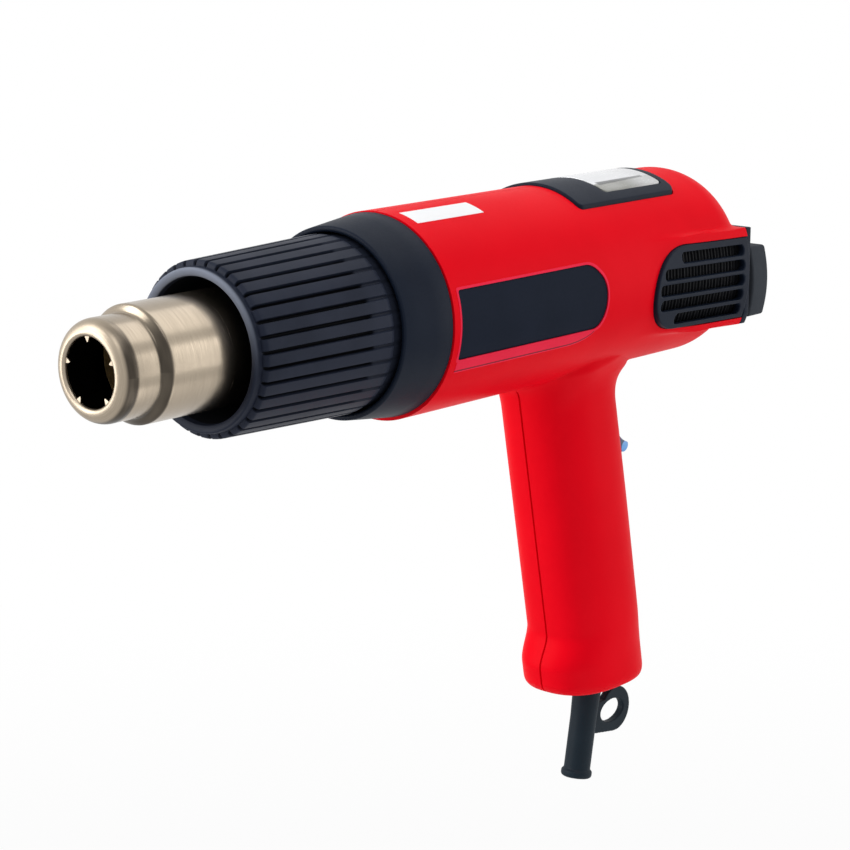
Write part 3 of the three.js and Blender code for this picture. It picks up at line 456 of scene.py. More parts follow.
class Wire:
    """A shader socket that takes part in Python expressions."""

    def __init__(self, paint: "Paint", socket: bpy.types.NodeSocket) -> None:
        """Keep the socket and the material it belongs to."""
        self.paint = paint
        self.socket = socket

    def _math(self, operation: str, first: "Wire | float", second: "Wire | float" = 0.0) -> "Wire":
        """Result of a Math node on one or two values."""
        return self.paint.node("ShaderNodeMath", {"operation": operation}, {0: first, 1: second})

    def __add__(self, other: "Wire | float") -> "Wire":
        """Sum."""
        return self._math("ADD", self, other)

    def __radd__(self, other: float) -> "Wire":
        """Sum with a number first."""
        return self._math("ADD", other, self)

    def __sub__(self, other: "Wire | float") -> "Wire":
        """Difference."""
        return self._math("SUBTRACT", self, other)

    def __rsub__(self, other: float) -> "Wire":
        """Difference with a number first."""
        return self._math("SUBTRACT", other, self)

    def __mul__(self, other: "Wire | float") -> "Wire":
        """Product."""
        return self._math("MULTIPLY", self, other)

    def __rmul__(self, other: float) -> "Wire":
        """Product with a number first."""
        return self._math("MULTIPLY", other, self)

    def __truediv__(self, other: "Wire | float") -> "Wire":
        """Quotient."""
        return self._math("DIVIDE", self, other)

    def __rtruediv__(self, other: float) -> "Wire":
        """Quotient with a number first."""
        return self._math("DIVIDE", other, self)

    def __pow__(self, other: "Wire | float") -> "Wire":
        """Power."""
        return self._math("POWER", self, other)

    def __rpow__(self, other: float) -> "Wire":
        """Power with a number first."""
        return self._math("POWER", other, self)

    def at_least(self, other: "Wire | float") -> "Wire":
        """The larger of two values."""
        return self._math("MAXIMUM", self, other)

    def at_most(self, other: "Wire | float") -> "Wire":
        """The smaller of two values."""
        return self._math("MINIMUM", self, other)

    def size(self) -> "Wire":
        """The value without its sign."""
        return self._math("ABSOLUTE", self)

    def turn_from(self, other: "Wire") -> "Wire":
        """Angle of the point with this height and the other reach."""
        return self._math("ARCTAN2", self, other)

    def ease(self, low: float, high: float) -> "Wire":
        """Smooth step from 0 at the low value to 1 at the high one."""
        sockets = {"Value": self, "From Min": low, "From Max": high, "To Min": 0.0, "To Max": 1.0}
        return self.paint.node("ShaderNodeMapRange", {"interpolation_type": "SMOOTHSTEP"}, sockets)


class Paint:
    """A node tree under construction."""

    def __init__(self, owner: bpy.types.Material | bpy.types.World) -> None:
        """Start with an empty tree.

        Args:
            owner: The material or world that gets the tree.
        """
        self.owner = owner
        owner.use_nodes = True
        self.tree = owner.node_tree
        self.tree.nodes.clear()

    @classmethod
    def surface(cls, name: str) -> "Paint":
        """Start a new material of that name."""
        return cls(bpy.data.materials.new(name))

    def node(self, kind: str, settings: dict[str, object] | None = None,
             sockets: dict[int | str, object] | None = None, out: int | str = 0) -> Wire:
        """Add any node.

        Args:
            kind: The node's type.
            settings: Its properties, such as its operation.
            sockets: Values or wires of its inputs.
            out: The output that is returned.

        Returns:
            That output, or the first input of a node without outputs.
        """
        made = self.tree.nodes.new(kind)
        for key, value in (settings or {}).items():
            setattr(made, key, value)
        for key, value in (sockets or {}).items():
            if isinstance(value, Wire):
                self.tree.links.new(value.socket, made.inputs[key])
            else:
                made.inputs[key].default_value = value
        return Wire(self, made.outputs[out] if made.outputs else made.inputs[0])

    def place(self) -> Wire:
        """Coordinates on the object in millimetres.

        Returns:
            The coordinates.
        """
        coordinate = self.node("ShaderNodeTexCoord", out="Object")
        sockets = {0: coordinate, 1: (1 / MM, 1 / MM, 1 / MM)}
        return self.node("ShaderNodeVectorMath", {"operation": "MULTIPLY"}, sockets)

    def split(self, vector: Wire) -> tuple[Wire, Wire, Wire]:
        """The three numbers of a vector.

        Args:
            vector: The vector.

        Returns:
            Its numbers.
        """
        first = self.node("ShaderNodeSeparateXYZ", sockets={0: vector})
        outputs = first.socket.node.outputs
        return tuple(Wire(self, outputs[n]) for n in range(3))

    def joined(self, x: Wire | float, y: Wire | float, z: Wire | float) -> Wire:
        """A vector of three numbers."""
        return self.node("ShaderNodeCombineXYZ", sockets={0: x, 1: y, 2: z})

    def noise(self, vector: Wire, scale: float, detail: float, roughness: float = 0.5) -> Wire:
        """Soft noise from 0 to 1, with its grains to a millimetre, its finer layers and their weight."""
        sockets = {"Vector": vector, "Scale": scale, "Detail": detail, "Roughness": roughness}
        return self.node("ShaderNodeTexNoise", {"noise_dimensions": "3D"}, sockets, out="Fac")

    def cells(self, vector: Wire, scale: float) -> Wire:
        """Distance to the nearest of scattered points, with their number to a millimetre."""
        sockets = {"Vector": vector, "Scale": scale}
        return self.node("ShaderNodeTexVoronoi", {"feature": "F1"}, sockets, out="Distance")

    def mix(self, share: Wire | float, first: Wire | Colour, second: Wire | Colour) -> Wire:
        """Blend of two colours.

        Args:
            share: Share of the second.
            first: First colour.
            second: Second colour.

        Returns:
            The blend.
        """
        sockets: dict[int | str, object] = {0: share}
        for key, value in ((6, first), (7, second)):
            sockets[key] = value if isinstance(value, Wire) else (*value, 1.0)
        return self.node("ShaderNodeMix", {"data_type": "RGBA"}, sockets, out=2)

    def bump(self, height: Wire, strength: float, depth: float) -> Wire:
        """Normal of a fine relief from 0 to 1, with its share and its depth in millimetres."""
        return self.node("ShaderNodeBump", sockets={"Height": height, "Strength": strength, "Distance": depth * MM})

    def close(self, sockets: dict[int | str, object]) -> bpy.types.Material:
        """Finish with the main shader.

        Args:
            sockets: Its inputs.

        Returns:
            The material.
        """
        shader = self.node("ShaderNodeBsdfPrincipled", sockets=sockets)
        self.node("ShaderNodeOutputMaterial", sockets={"Surface": shader})
        return self.owner

    def seen(self) -> Wire:
        """Tell what the eye sees from what only lights the tool.

        Returns:
            1 for rays that reach the eye straight, off a gloss or through a clear piece, else 0.
        """
        straight = self.node("ShaderNodeLightPath", out="Is Camera Ray")
        mirrored = self.node("ShaderNodeLightPath", out="Is Glossy Ray")
        through = self.node("ShaderNodeLightPath", out="Is Transmission Ray")
        return straight.at_least(mirrored).at_least(through)


class Grain(Enum):
    """Fine relief of a moulded surface: grains to a millimetre, depth in millimetres."""

    SATIN = (3.2, 0.012)
    SPARK = (2.4, 0.03)
    MATT = (1.7, 0.045)


@dataclass(frozen=True)
class Moulded:
    """Moulded plastic or rubber with a fine grain."""

    name: str
    colour: Colour
    shade: Colour
    roughness: float
    grain: Grain
    gloss: float = 0.5

    def make(self) -> bpy.types.Material:
        """Build the material.

        Returns:
            The material.
        """
        paint = Paint.surface(self.name)
        place = paint.place()
        cloud = paint.noise(place, 0.035, 3.0)
        fleck = paint.noise(place, 0.9, 2.0)
        share = cloud.ease(0.3, 0.7) * 0.7 + fleck * 0.3
        scale, depth = self.grain.value
        pores = paint.cells(place, scale)
        dust = paint.noise(place, scale * 2.1, 1.0)
        relief = pores * 0.6 + dust * 0.4
        return paint.close({
            "Base Color": paint.mix(share, self.colour, self.shade),
            "Roughness": self.roughness + (cloud - 0.5) * 0.1 + (fleck - 0.5) * 0.08,
            "Normal": paint.bump(relief, 0.6, depth),
            "Specular IOR Level": self.gloss,
        })


@dataclass(frozen=True)
class HighlitRoll:
    """Glossy plastic with a painted highlight on the roll that runs across the tool and painted shade beyond it."""

    name: str
    # light is the colour of the painted highlight, dark that of the painted shade
    light: Colour
    dark: Colour
    roughness: float
    gloss: float
    middle: Point2
    roll: float
    fade: float = 0.6

    def make(self) -> bpy.types.Material:
        """Build the material.

        Returns:
            The material.
        """
        paint = Paint.surface(self.name)
        place = paint.place()
        x, _, z = paint.split(place)
        off = ((x - self.middle[0]) ** 2.0 + (z - self.middle[1]) ** 2.0) ** 0.5
        fleck = paint.noise(place, 1.4, 2.0)
        # painted highlight within the roll's radius of its middle, painted shade beyond it
        beyond = (off + (fleck - 0.5) * 0.3).ease(self.roll, self.roll + self.fade)
        return paint.close({
            "Base Color": paint.mix(beyond, self.light, self.dark),
            "Roughness": self.roughness + fleck * 0.08,
            "Normal": paint.bump(fleck, 0.2, 0.01),
            "Specular IOR Level": self.gloss,
        })


@dataclass(frozen=True)
class Ribbed:
    """Heat resistant plastic of the shield, with painted shade in its grooves and a painted highlight on the top of
    its lip.
    """

    name: str
    colour: Colour
    shade: Colour
    # colour of the painted shade in the grooves
    deep: Colour
    # colour of the painted highlight on the top of the lip
    lip: Colour
    roughness: float
    gloss: float
    axis_z: float
    front_x: float
    front_r: float
    taper: float
    taper_reach: float

    def make(self) -> bpy.types.Material:
        """Build the material.

        Returns:
            The material.
        """
        paint = Paint.surface(self.name)
        place = paint.place()
        x, y, z = paint.split(place)
        along = x - self.front_x
        radius = (y * y + (z - self.axis_z) ** 2.0) ** 0.5
        land = self.front_r + (along / self.taper_reach).at_most(1.0) * self.taper
        # mask of the painted shade where the surface lies below the lands of the ribs
        groove = (land - radius).ease(0.35, 1.5) * along.ease(2.6, 3.6)
        cloud = paint.noise(place, 0.05, 3.0)
        grain = paint.cells(place, 3.0) * 0.6 + paint.noise(place, 6.5, 1.0) * 0.4
        base = paint.mix(cloud.ease(0.3, 0.7), self.colour, self.shade)
        # painted highlight on the front lip, stronger towards its top
        lip_highlight = (1 - along.ease(0.3, 1.6)) * (z - self.axis_z).ease(-8.0, 26.0)
        lit = paint.mix(lip_highlight, base, self.lip)
        return paint.close({
            "Base Color": paint.mix(groove, lit, self.deep),
            "Roughness": self.roughness + groove * 0.3 + (cloud - 0.5) * 0.1,
            "Normal": paint.bump(grain, 0.5, 0.012),
            "Specular IOR Level": self.gloss,
        })


@dataclass(frozen=True)
class DrawnSteel:
    """Drawn and brushed steel about the barrel axis, with painted dark reflection bands behind the mouth and at the
    step, and painted shade inside the tube.
    """

    name: str
    colour: Colour
    dark: Colour
    # colour of the painted dark reflection bands
    ring: Colour
    # colour of the painted shade inside the tube
    inside_shade: Colour
    roughness: float
    mouth_x: float
    axis_z: float
    # painted dark reflection bands, just behind the mouth and at the step
    rings: tuple[Point2, ...] = ((3.9, 2.7), (16.4, 2.2))  # behind the mouth: middle and half width

    def make(self) -> bpy.types.Material:
        """Build the material.

        Returns:
            The material.
        """
        paint = Paint.surface(self.name)
        x, y, z = paint.split(paint.place())
        up, along = z - self.axis_z, x - self.mouth_x
        turn = up.turn_from(y)
        radius = (y * y + up * up) ** 0.5
        brush = paint.noise(paint.joined(x * 9.0, turn * 1.6, 0.0), 1.0, 4.0, 0.65)
        wide = paint.noise(paint.joined(x * 0.3, turn * 0.9, 2.0), 1.0, 2.0)
        # the painted dark reflection bands are strongest on the left and lower side
        side = (y * -0.92 - up * 0.38) / radius
        facing = side.ease(-0.35, 0.55)
        rings = [1 - (along - middle).size().ease(half * 0.5, half) for middle, half in self.rings]
        dark_reflection = rings[0].at_least(rings[1]) * facing * (0.7 + wide * 0.4)
        # painted shade on the inner face of the tube, from about two millimetres behind the mouth
        _, out_y, out_z = paint.split(paint.node("ShaderNodeNewGeometry", out="Normal"))
        inside = (1 - (out_y * y + out_z * up).ease(-0.6, -0.1)) * along.ease(1.0, 2.4)
        base = paint.mix(brush.ease(0.25, 0.75) * 0.5 + wide * 0.25, self.colour, self.dark)
        with_dark_reflection = paint.mix(dark_reflection.at_most(1.0), base, self.ring)
        dull = (1 - along.ease(2.5, 6.0)) * 0.14
        return paint.close({
            "Base Color": paint.mix(inside, with_dark_reflection, self.inside_shade),
            "Metallic": 1.0,
            "Roughness": self.roughness + (brush - 0.5) * 0.14 + (wide - 0.5) * 0.08 + dull,
            "Normal": paint.bump(brush, 0.2, 0.015),
        })


@dataclass(frozen=True)
class Plain:
    """Small inner finish with a mottled colour."""

    name: str
    colour: Colour
    shade: Colour
    roughness: float
    metallic: float = 0.0
    scale: float = 0.4

    def make(self) -> bpy.types.Material:
        """Build the material.

        Returns:
            The material.
        """
        paint = Paint.surface(self.name)
        place = paint.place()
        mottle = paint.noise(place, self.scale, 4.0, 0.6)
        fine = paint.noise(place, self.scale * 7.0, 2.0)
        return paint.close({
            "Base Color": paint.mix(mottle.ease(0.3, 0.7), self.colour, self.shade),
            "Roughness": self.roughness + (mottle - 0.5) * 0.2,
            "Metallic": self.metallic,
            "Normal": paint.bump(fine, 0.4, 0.04),
        })


@dataclass(frozen=True)
class CircuitBoard:
    """Lacquered board with copper runs under the lacquer."""

    name: str
    colour: Colour
    run: Colour

    def make(self) -> bpy.types.Material:
        """Build the material.

        Returns:
            The material.
        """
        paint = Paint.surface(self.name)
        place = paint.place()
        settings = {"offset": 0.5, "squash": 1.0}
        sockets = {"Vector": place, "Scale": 0.5, "Mortar Size": 0.16, "Brick Width": 1.4, "Row Height": 0.5}
        runs = paint.node("ShaderNodeTexBrick", settings, sockets, out="Fac")
        mottle = paint.noise(place, 0.5, 3.0)
        return paint.close({
            "Base Color": paint.mix(runs * 0.6 + mottle * 0.2, self.colour, self.run),
            "Roughness": 0.32 + mottle * 0.15,
            "Normal": paint.bump(runs, 0.4, 0.05),
        })


@dataclass(frozen=True)
class Window:
    """Silvered display film behind a clear window, with a painted dark reflection streak along each side and a greyer
    painted reflection beyond it.
    """

    name: str
    silver: Colour
    # colour of the greyer painted reflection beyond the streak
    cloud: Colour
    # colour of the painted dark reflection streak
    line: Colour
    front_x: float
    reach: float = 35.9
    # side distance of the painted dark reflection streak
    streak_y: float = -11.4

    def make(self) -> bpy.types.Material:
        """Build the material.

        Returns:
            The material.
        """
        paint = Paint.surface(self.name)
        place = paint.place()
        x, y, _ = paint.split(place)
        haze = paint.noise(place, 0.05, 2.0)
        fine = paint.noise(paint.joined(x * 0.3, y * 3.0, 0.0), 1.0, 2.0)
        along = x - self.front_x
        rear = along / self.reach
        beyond = y.size() + self.streak_y + along * 0.03
        pane = along.ease(1.5, 3.0) * (1 - along.ease(self.reach - 6.0, self.reach - 3.5))
        # painted dark reflection streak along each side, thicker towards the front
        line = (1 - (beyond.size() - 0.6 * (1 - rear)).ease(0.25, 1.0)) * pane
        # greyer painted reflection beyond the streak, fading towards the rear
        grey_reflection = beyond.ease(-0.4, 0.5) * (1 - 0.6 * rear.ease(0.4, 0.9))
        base = paint.mix(grey_reflection * 0.85 + haze * 0.15, self.silver, self.cloud)
        return paint.close({
            "Base Color": paint.mix(line * 0.85, base, self.line),
            "Metallic": 0.1,
            "Roughness": 0.22 + fine * 0.08,
            "Coat Weight": 0.2,
            "Coat Roughness": 0.03,
            "Normal": paint.bump(fine, 0.06, 0.003),
        })


class Palette:
    """All finishes of the tool, made once."""

    def __init__(self, layout: Layout, front: "FrontEnd", display: "Display", rocker: "Rocker") -> None:
        """Make the materials.

        Args:
            layout: Where the barrel axis lies.
            front: Sizes of nozzle and shield.
            display: Sizes of the window.
            rocker: Where the rocker's roll lies.
        """
        roll = rocker.tilted(np.array([rocker.roll_middle]), 0.0)[0] + (layout.plane_x, 0.0, layout.axis_z)
        shield_x, mouth_x = layout.plane_x - front.reach, layout.plane_x - front.nozzle_reach
        window_x = layout.plane_x + display.front + display.lens_front
        finishes = [
            Moulded("red_shell", srgb(232, 3, 25), srgb(225, 2, 23), 0.44, Grain.SATIN, 0.03),
            Moulded("black_plastic", srgb(20, 28, 42), srgb(15, 22, 35), 0.46, Grain.SPARK, 0.075),
            # the shield's third colour is painted shade in the grooves, the fourth a painted highlight on the top of
            # the lip
            Ribbed("shield_plastic", srgb(35, 40, 54), srgb(28, 33, 46), srgb(8, 10, 15), srgb(116, 122, 136), 0.46,
                   0.08, layout.axis_z, shield_x, front.root_r - front.taper, front.taper, front.taper_reach),
            Moulded("inlay_film", srgb(22, 29, 44), srgb(18, 25, 38), 0.5, Grain.SATIN, 0.035),
            Moulded("stand_rubber", srgb(56, 60, 66), srgb(47, 51, 57), 0.7, Grain.MATT, 0.08),
            Moulded("relief_rubber", srgb(24, 36, 45), srgb(19, 29, 37), 0.55, Grain.MATT, 0.12),
            # light blue is the painted highlight round the rocker's roll, dark blue the painted shade; its middle sits
            # a little to the rear and down
            HighlitRoll("rocker_blue", srgb(104, 170, 238), srgb(30, 52, 92), 0.26, 0.4,
                    (float(roll[0]) + 0.9, float(roll[2]) - 0.9), rocker.roll - 0.3),
            Moulded("label_white", srgb(244, 245, 246), srgb(237, 238, 240), 0.42, Grain.SATIN, 0.15),
            Moulded("strip_red", srgb(240, 30, 68), srgb(234, 26, 62), 0.46, Grain.SATIN, 0.08),
            Moulded("line_dark", srgb(128, 16, 40), srgb(116, 12, 34), 0.5, Grain.SATIN, 0.12),
            Moulded("screen_mesh", srgb(14, 16, 22), srgb(9, 10, 14), 0.6, Grain.SATIN, 0.12),
            Moulded("switch_black", srgb(26, 28, 32), srgb(20, 22, 26), 0.5, Grain.SPARK, 0.25),
            Moulded("fan_plastic", srgb(46, 50, 56), srgb(38, 42, 48), 0.5, Grain.SPARK, 0.3),
            Moulded("terminal_plastic", srgb(216, 212, 200), srgb(206, 202, 190), 0.5, Grain.SATIN),
            # the steel's third colour is a painted dark reflection, the fourth painted shade inside the tube
            DrawnSteel("nozzle_steel", srgb(178, 165, 147), srgb(130, 119, 104), srgb(60, 55, 49), srgb(14, 12, 11),
                       0.24, mouth_x, layout.axis_z),
            Plain("mica", srgb(186, 158, 108), srgb(150, 124, 80), 0.55),
            Plain("heater_ceramic", srgb(224, 216, 200), srgb(200, 190, 172), 0.75),
            Plain("heater_wire", srgb(110, 106, 102), srgb(80, 72, 66), 0.45, 0.9, 1.2),
            Plain("motor_steel", srgb(176, 178, 180), srgb(150, 152, 156), 0.34, 0.95, 0.8),
            Plain("armature_copper", srgb(176, 104, 62), srgb(120, 70, 44), 0.4, 0.85, 1.5),
            CircuitBoard("circuit_board", srgb(24, 92, 48), srgb(92, 132, 70)),
            # the window's second colour is a greyer painted reflection, the third a painted dark reflection streak
            Window("display_window", srgb(226, 227, 230), srgb(118, 118, 111), srgb(38, 41, 43), window_x),
            Plain("display_glass", srgb(150, 156, 144), srgb(134, 140, 130), 0.2),
        ]
        self.materials = {finish.name: finish.make() for finish in finishes}

    def __getitem__(self, name: str) -> bpy.types.Material:
        """The material of that name."""
        return self.materials[name]


@dataclass
class Bench:
    """Places finished pieces in the scene."""

    layout: Layout
    palette: Palette
    count: int = 0

    def put(self, name: str, solid: Solid, finish: str, replaces: Sequence[str] = (), body: str = TOOL,
            crease: float = 32.0) -> None:
        """Turn a solid into a piece of the scene.

        Args:
            name: The piece's name.
            solid: Its shape in millimetres.
            finish: Its material.
            replaces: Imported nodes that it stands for.
            body: Body that it rides on.
            crease: Edges sharper than this, in degrees, stay sharp.
        """
        mesh = solid.mesh.copy()
        mesh.name = name
        points = np.empty(len(mesh.vertices) * 3, dtype=np.float64)
        mesh.vertices.foreach_get("co", points)
        mesh.vertices.foreach_set("co", self.layout.to_scene(points.reshape(-1, 3)).ravel())
        work = bmesh.new()
        work.from_mesh(mesh)
        for face in work.faces:
            face.smooth = True
        for edge in work.edges:
            edge.smooth = edge.is_manifold and edge.calc_face_angle() < math.radians(crease)
        work.to_mesh(mesh)
        work.free()
        mesh.update()
        mesh.materials.clear()
        mesh.materials.append(self.palette[finish])
        piece = bpy.data.objects.new(name, mesh)
        bpy.context.scene.collection.objects.link(piece)
        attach(piece, body)
        if replaces:
            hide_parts(*replaces)
        self.count += 1
        LOG.info("%s: %d faces, %s", name, len(mesh.polygons), finish)

    def dress(self, node: str, finish: str) -> None:
        """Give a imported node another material.

        Args:
            node: The node.
            finish: The material.
        """
        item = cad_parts[node]
        item.data.materials.clear()
        item.data.materials.append(self.palette[finish])
        LOG.info("%s dressed in %s", node, finish)


@dataclass
class Handle:
    """The grip, in its own frame: s down the handle, u to the rear."""

    at: float = 96.1
    rake: float = math.radians(10.7)
    length: float = 165.5
    depth: float = 23.1
    wide: float = 18.6
    squareness: float = 2.5
    toe: float = 6.4
    tilt: float = 0.185
    blend: float = 9.0
    side_blend: float = 0.4
    side_wall: float = 0.8
    foot_round: float = 2.2
    foot_drop: float = 1.0
    seam_depth: float = 1.0
    seam_half: float = 0.4
    rear_fillet: float = 11.0
    front_fillet: float = 9.0
    body_r: float = 36.4
    neck: float = 0.8
    neck_reach: float = 60.0
    sides: int = 144
    blend_end: float = 0.285  # shares of the length, from here on
    toe_from: float = 0.838
    toe_over: float = 0.092
    tip_from: float = 0.965
    tip_over: float = 0.035
    curl_from: float = 0.974
    curl_over: float = 0.026
    tilt_from: float = 0.8
    tilt_over: float = 0.2
    drop_from: float = 0.86
    drop_over: float = 0.14

    def meets(self, side: float) -> float:
        """How far down the handle its front (-1) or rear (1) line meets the barrel."""
        return (self.body_r + side * self.depth * math.sin(self.rake)) / math.cos(self.rake)

    def flare(self, s: np.ndarray, side: float) -> np.ndarray:
        """How far the front (-1) or rear (1) flares towards the barrel, as an arc that touches both.

        Args:
            s: Distances down the handle, less the rise of the barrel beside its lowest line.
            side: -1 for the front, 1 for the rear.

        Returns:
            The added depth.
        """
        fillet = self.rear_fillet if side > 0 else self.front_fillet
        start = self.meets(side) + fillet * (1.0 / math.cos(self.rake) + side * math.tan(self.rake))
        left = np.clip(start - s, 0.0, fillet)
        return fillet - np.sqrt(fillet ** 2 - left ** 2)

    def point(self, s: np.ndarray | float, u: np.ndarray | float, y: np.ndarray | float) -> np.ndarray:
        """Points of the handle frame in the collar frame.

        Args:
            s: Distance down the handle.
            u: Distance to the rear.
            y: Distance to the right.

        Returns:
            The points.
        """
        sin, cos = math.sin(self.rake), math.cos(self.rake)
        parts = np.broadcast_arrays(self.at + s * sin + u * cos, y, -s * cos + u * sin)
        return np.stack(parts, axis=-1)

    def ring(self, part: float, inset: float) -> np.ndarray:
        """One section of the handle.

        Args:
            part: Share of the length.
            inset: How far inside the outer surface.

        Returns:
            The points of the ring.
        """
        fillet = self.blend * min(1.5, 150.0 * max(0.0, self.blend_end - part) ** 2)
        toe = float(smooth((part - self.toe_from) / self.toe_over))
        toe -= 0.2 * max(0.0, (part - self.tip_from) / self.tip_over) ** 2
        curl = min(1.0, max(0.0, (part - self.curl_from) / self.curl_over))
        edge = -self.foot_round * (1.0 - math.sqrt(1.0 - curl * curl)) - inset
        tilt = self.tilt * max(0.0, (part - self.tilt_from) / self.tilt_over)
        s = part * self.length
        front = self.depth + edge + toe * self.toe
        rear = self.depth + edge - self.neck * (1.0 - float(smooth((s - self.meets(1.0)) / self.neck_reach)))
        wide = self.wide + edge * self.side_wall + fillet * self.side_blend
        angle = np.linspace(0.0, 2.0 * math.pi, self.sides, endpoint=False)
        power = 2.0 / self.squareness
        cos, sin = np.cos(angle), np.sin(angle)
        bow = np.sign(cos) * np.abs(cos) ** power
        y = wide * np.sign(sin) * np.abs(sin) ** power
        under = s + (self.body_r - np.sqrt(self.body_r ** 2 - y * y)) / math.cos(self.rake)
        flare = np.where(bow > 0.0, self.flare(under, 1.0), self.flare(under, -1.0) * bow * bow)
        u = (rear - front) / 2 + ((rear + front) / 2 + flare) * bow
        drop = self.foot_drop * float(smooth((part - self.drop_from) / self.drop_over))
        return self.point(s + drop + tilt * u, u, y)

    def outer(self, inset: float = 0.0) -> Solid:
        """The full form of the handle.

        Args:
            inset: How far inside the surface.

        Returns:
            The form.
        """
        curl = self.curl_from + self.curl_over * np.sin(np.linspace(0.12, 1.57, 12))
        parts = np.concatenate([np.linspace(0.15, 0.33, 56), np.linspace(0.34, 0.83, 26),
                                np.linspace(0.84, self.curl_from, 24), curl])
        return loft(np.stack([self.ring(part, inset) for part in parts]))

    def inner(self, wall: float) -> Solid:
        """The hollow of the handle.

        Args:
            wall: Wall of the housing.

        Returns:
            The hollow.
        """
        end = 1.0 - wall * 1.6 / self.length
        rings = [self.ring(part, wall) for part in (0.3, 0.5, 0.7, 0.84, 0.9, end)]
        return loft(np.stack([self.hollow_top(0.1, wall), *rings]))

    def hollow_top(self, part: float, wall: float) -> np.ndarray:
        """Ring of the hollow above the blend, without its flare."""
        high, low = (self.point(share * self.length, 0.0, 0.0) for share in (part, self.blend_end))
        return self.ring(self.blend_end, wall) + (high - low)

    def block(self, s: Point2, u: Point2, y: Point2) -> Solid:
        """Straight block in the handle's frame.

        Args:
            s: From and to, down the handle.
            u: From and to, to the rear.
            y: From and to, to the right.

        Returns:
            The block.
        """
        corners = [(s[0], u[0]), (s[1], u[0]), (s[1], u[1]), (s[0], u[1])]
        rings = [np.stack([self.point(a, b, side) for a, b in corners]) for side in y]
        return loft(np.stack(rings))

    def seam(self) -> Solid:
        """Groove along the front, where the two halves meet."""
        slab = self.block((self.body_r, self.length + 6.0), (-self.depth * 2, -self.depth * 0.6),
                          (-self.seam_half, self.seam_half))
        return slab - self.outer(self.seam_depth)

    @property
    def foot(self) -> np.ndarray:
        """Middle of the handle's foot."""
        return self.point(self.length, 0.0, 0.0)


@dataclass
class Rocker:
    """The rocker switch in the rear of the handle, drawn as distance down and distance out from its pivot."""

    handle: Handle
    at: float = 71.5
    radius: float = 11.0
    half: float = 9.2
    reach: float = 8.0
    dip: float = 2.6
    far_drop: float = 1.8
    roll: float = 2.7
    roll_rise: float = 0.5
    rounding: float = 0.5
    throw: float = math.radians(15.0)
    proud: float = 5.4
    root: float = 3.0
    root_half: float = 4.0
    gap: float = 0.3
    side: float = 1.2
    deep: float = 11.0

    @property
    def rise(self) -> float:
        """Height of the pads above the pivot."""
        return math.sqrt(self.radius ** 2 - self.reach ** 2)

    @property
    def pivot(self) -> float:
        """Distance of the pivot to the rear of the handle axis."""
        high = self.rise * math.cos(self.throw) + self.reach * math.sin(self.throw)
        return self.handle.depth + self.proud - high

    def opening(self) -> Solid:
        """Opening in the housing.

        Returns:
            The body that is cut out.
        """
        half = self.reach * math.cos(self.throw) + self.rise * math.sin(self.throw) + 2 * self.gap
        side = self.half + 3 * self.gap + self.side
        return self.handle.block((self.at - half, self.at + half), (self.pivot - self.deep - 8, self.handle.depth * 2),
                                 (-side, side))

    def solid(self) -> Solid:
        """The rocker at rest, its lower pad out.

        Returns:
            The rocker.
        """
        far, high = -self.reach, self.rise - self.far_drop
        outline = [(-self.root_half, -self.root), (self.root_half, -self.root), (self.reach - 1.6, 0.8)]
        outline += arc(self.roll_middle, (self.roll, self.roll), -50, 84, 14)
        outline += bend(outline[-1], (0.0, self.rise - 2 * self.dip), (3.0 + far, high), 18)
        outline += bend(outline[-1], (far, high - 0.2), (far, high - 3.0), 6) + [(far, 0.0)]
        rings = [self.tilted(np.array(outline), y) for y in (-self.half, self.half)]
        return loft(np.stack(rings)).eased(self.rounding, 3, 40.0)

    @property
    def roll_middle(self) -> Point2:
        """Middle of the roll at the lower end, in the rocker's own plane."""
        return self.reach - self.roll, self.rise - self.roll + self.roll_rise

    def tilted(self, plane: np.ndarray, y: float) -> np.ndarray:
        """Points of the rocker's own plane in the collar frame.

        Args:
            plane: Pairs of distance down and distance out, from the pivot.
            y: Distance to the right.

        Returns:
            The points.
        """
        p, q = plane.T
        cos, sin = math.cos(self.throw), math.sin(self.throw)
        return self.handle.point(self.at + cos * p - sin * q, self.pivot + cos * q + sin * p, y)

    def build(self, bench: Bench) -> None:
        """Add the rocker and dress the switch behind it."""
        bench.put("rocker_cap", self.solid(), "rocker_blue", ["switch_rocker"], ROCKER)
        bench.dress("switch_body", "switch_black")


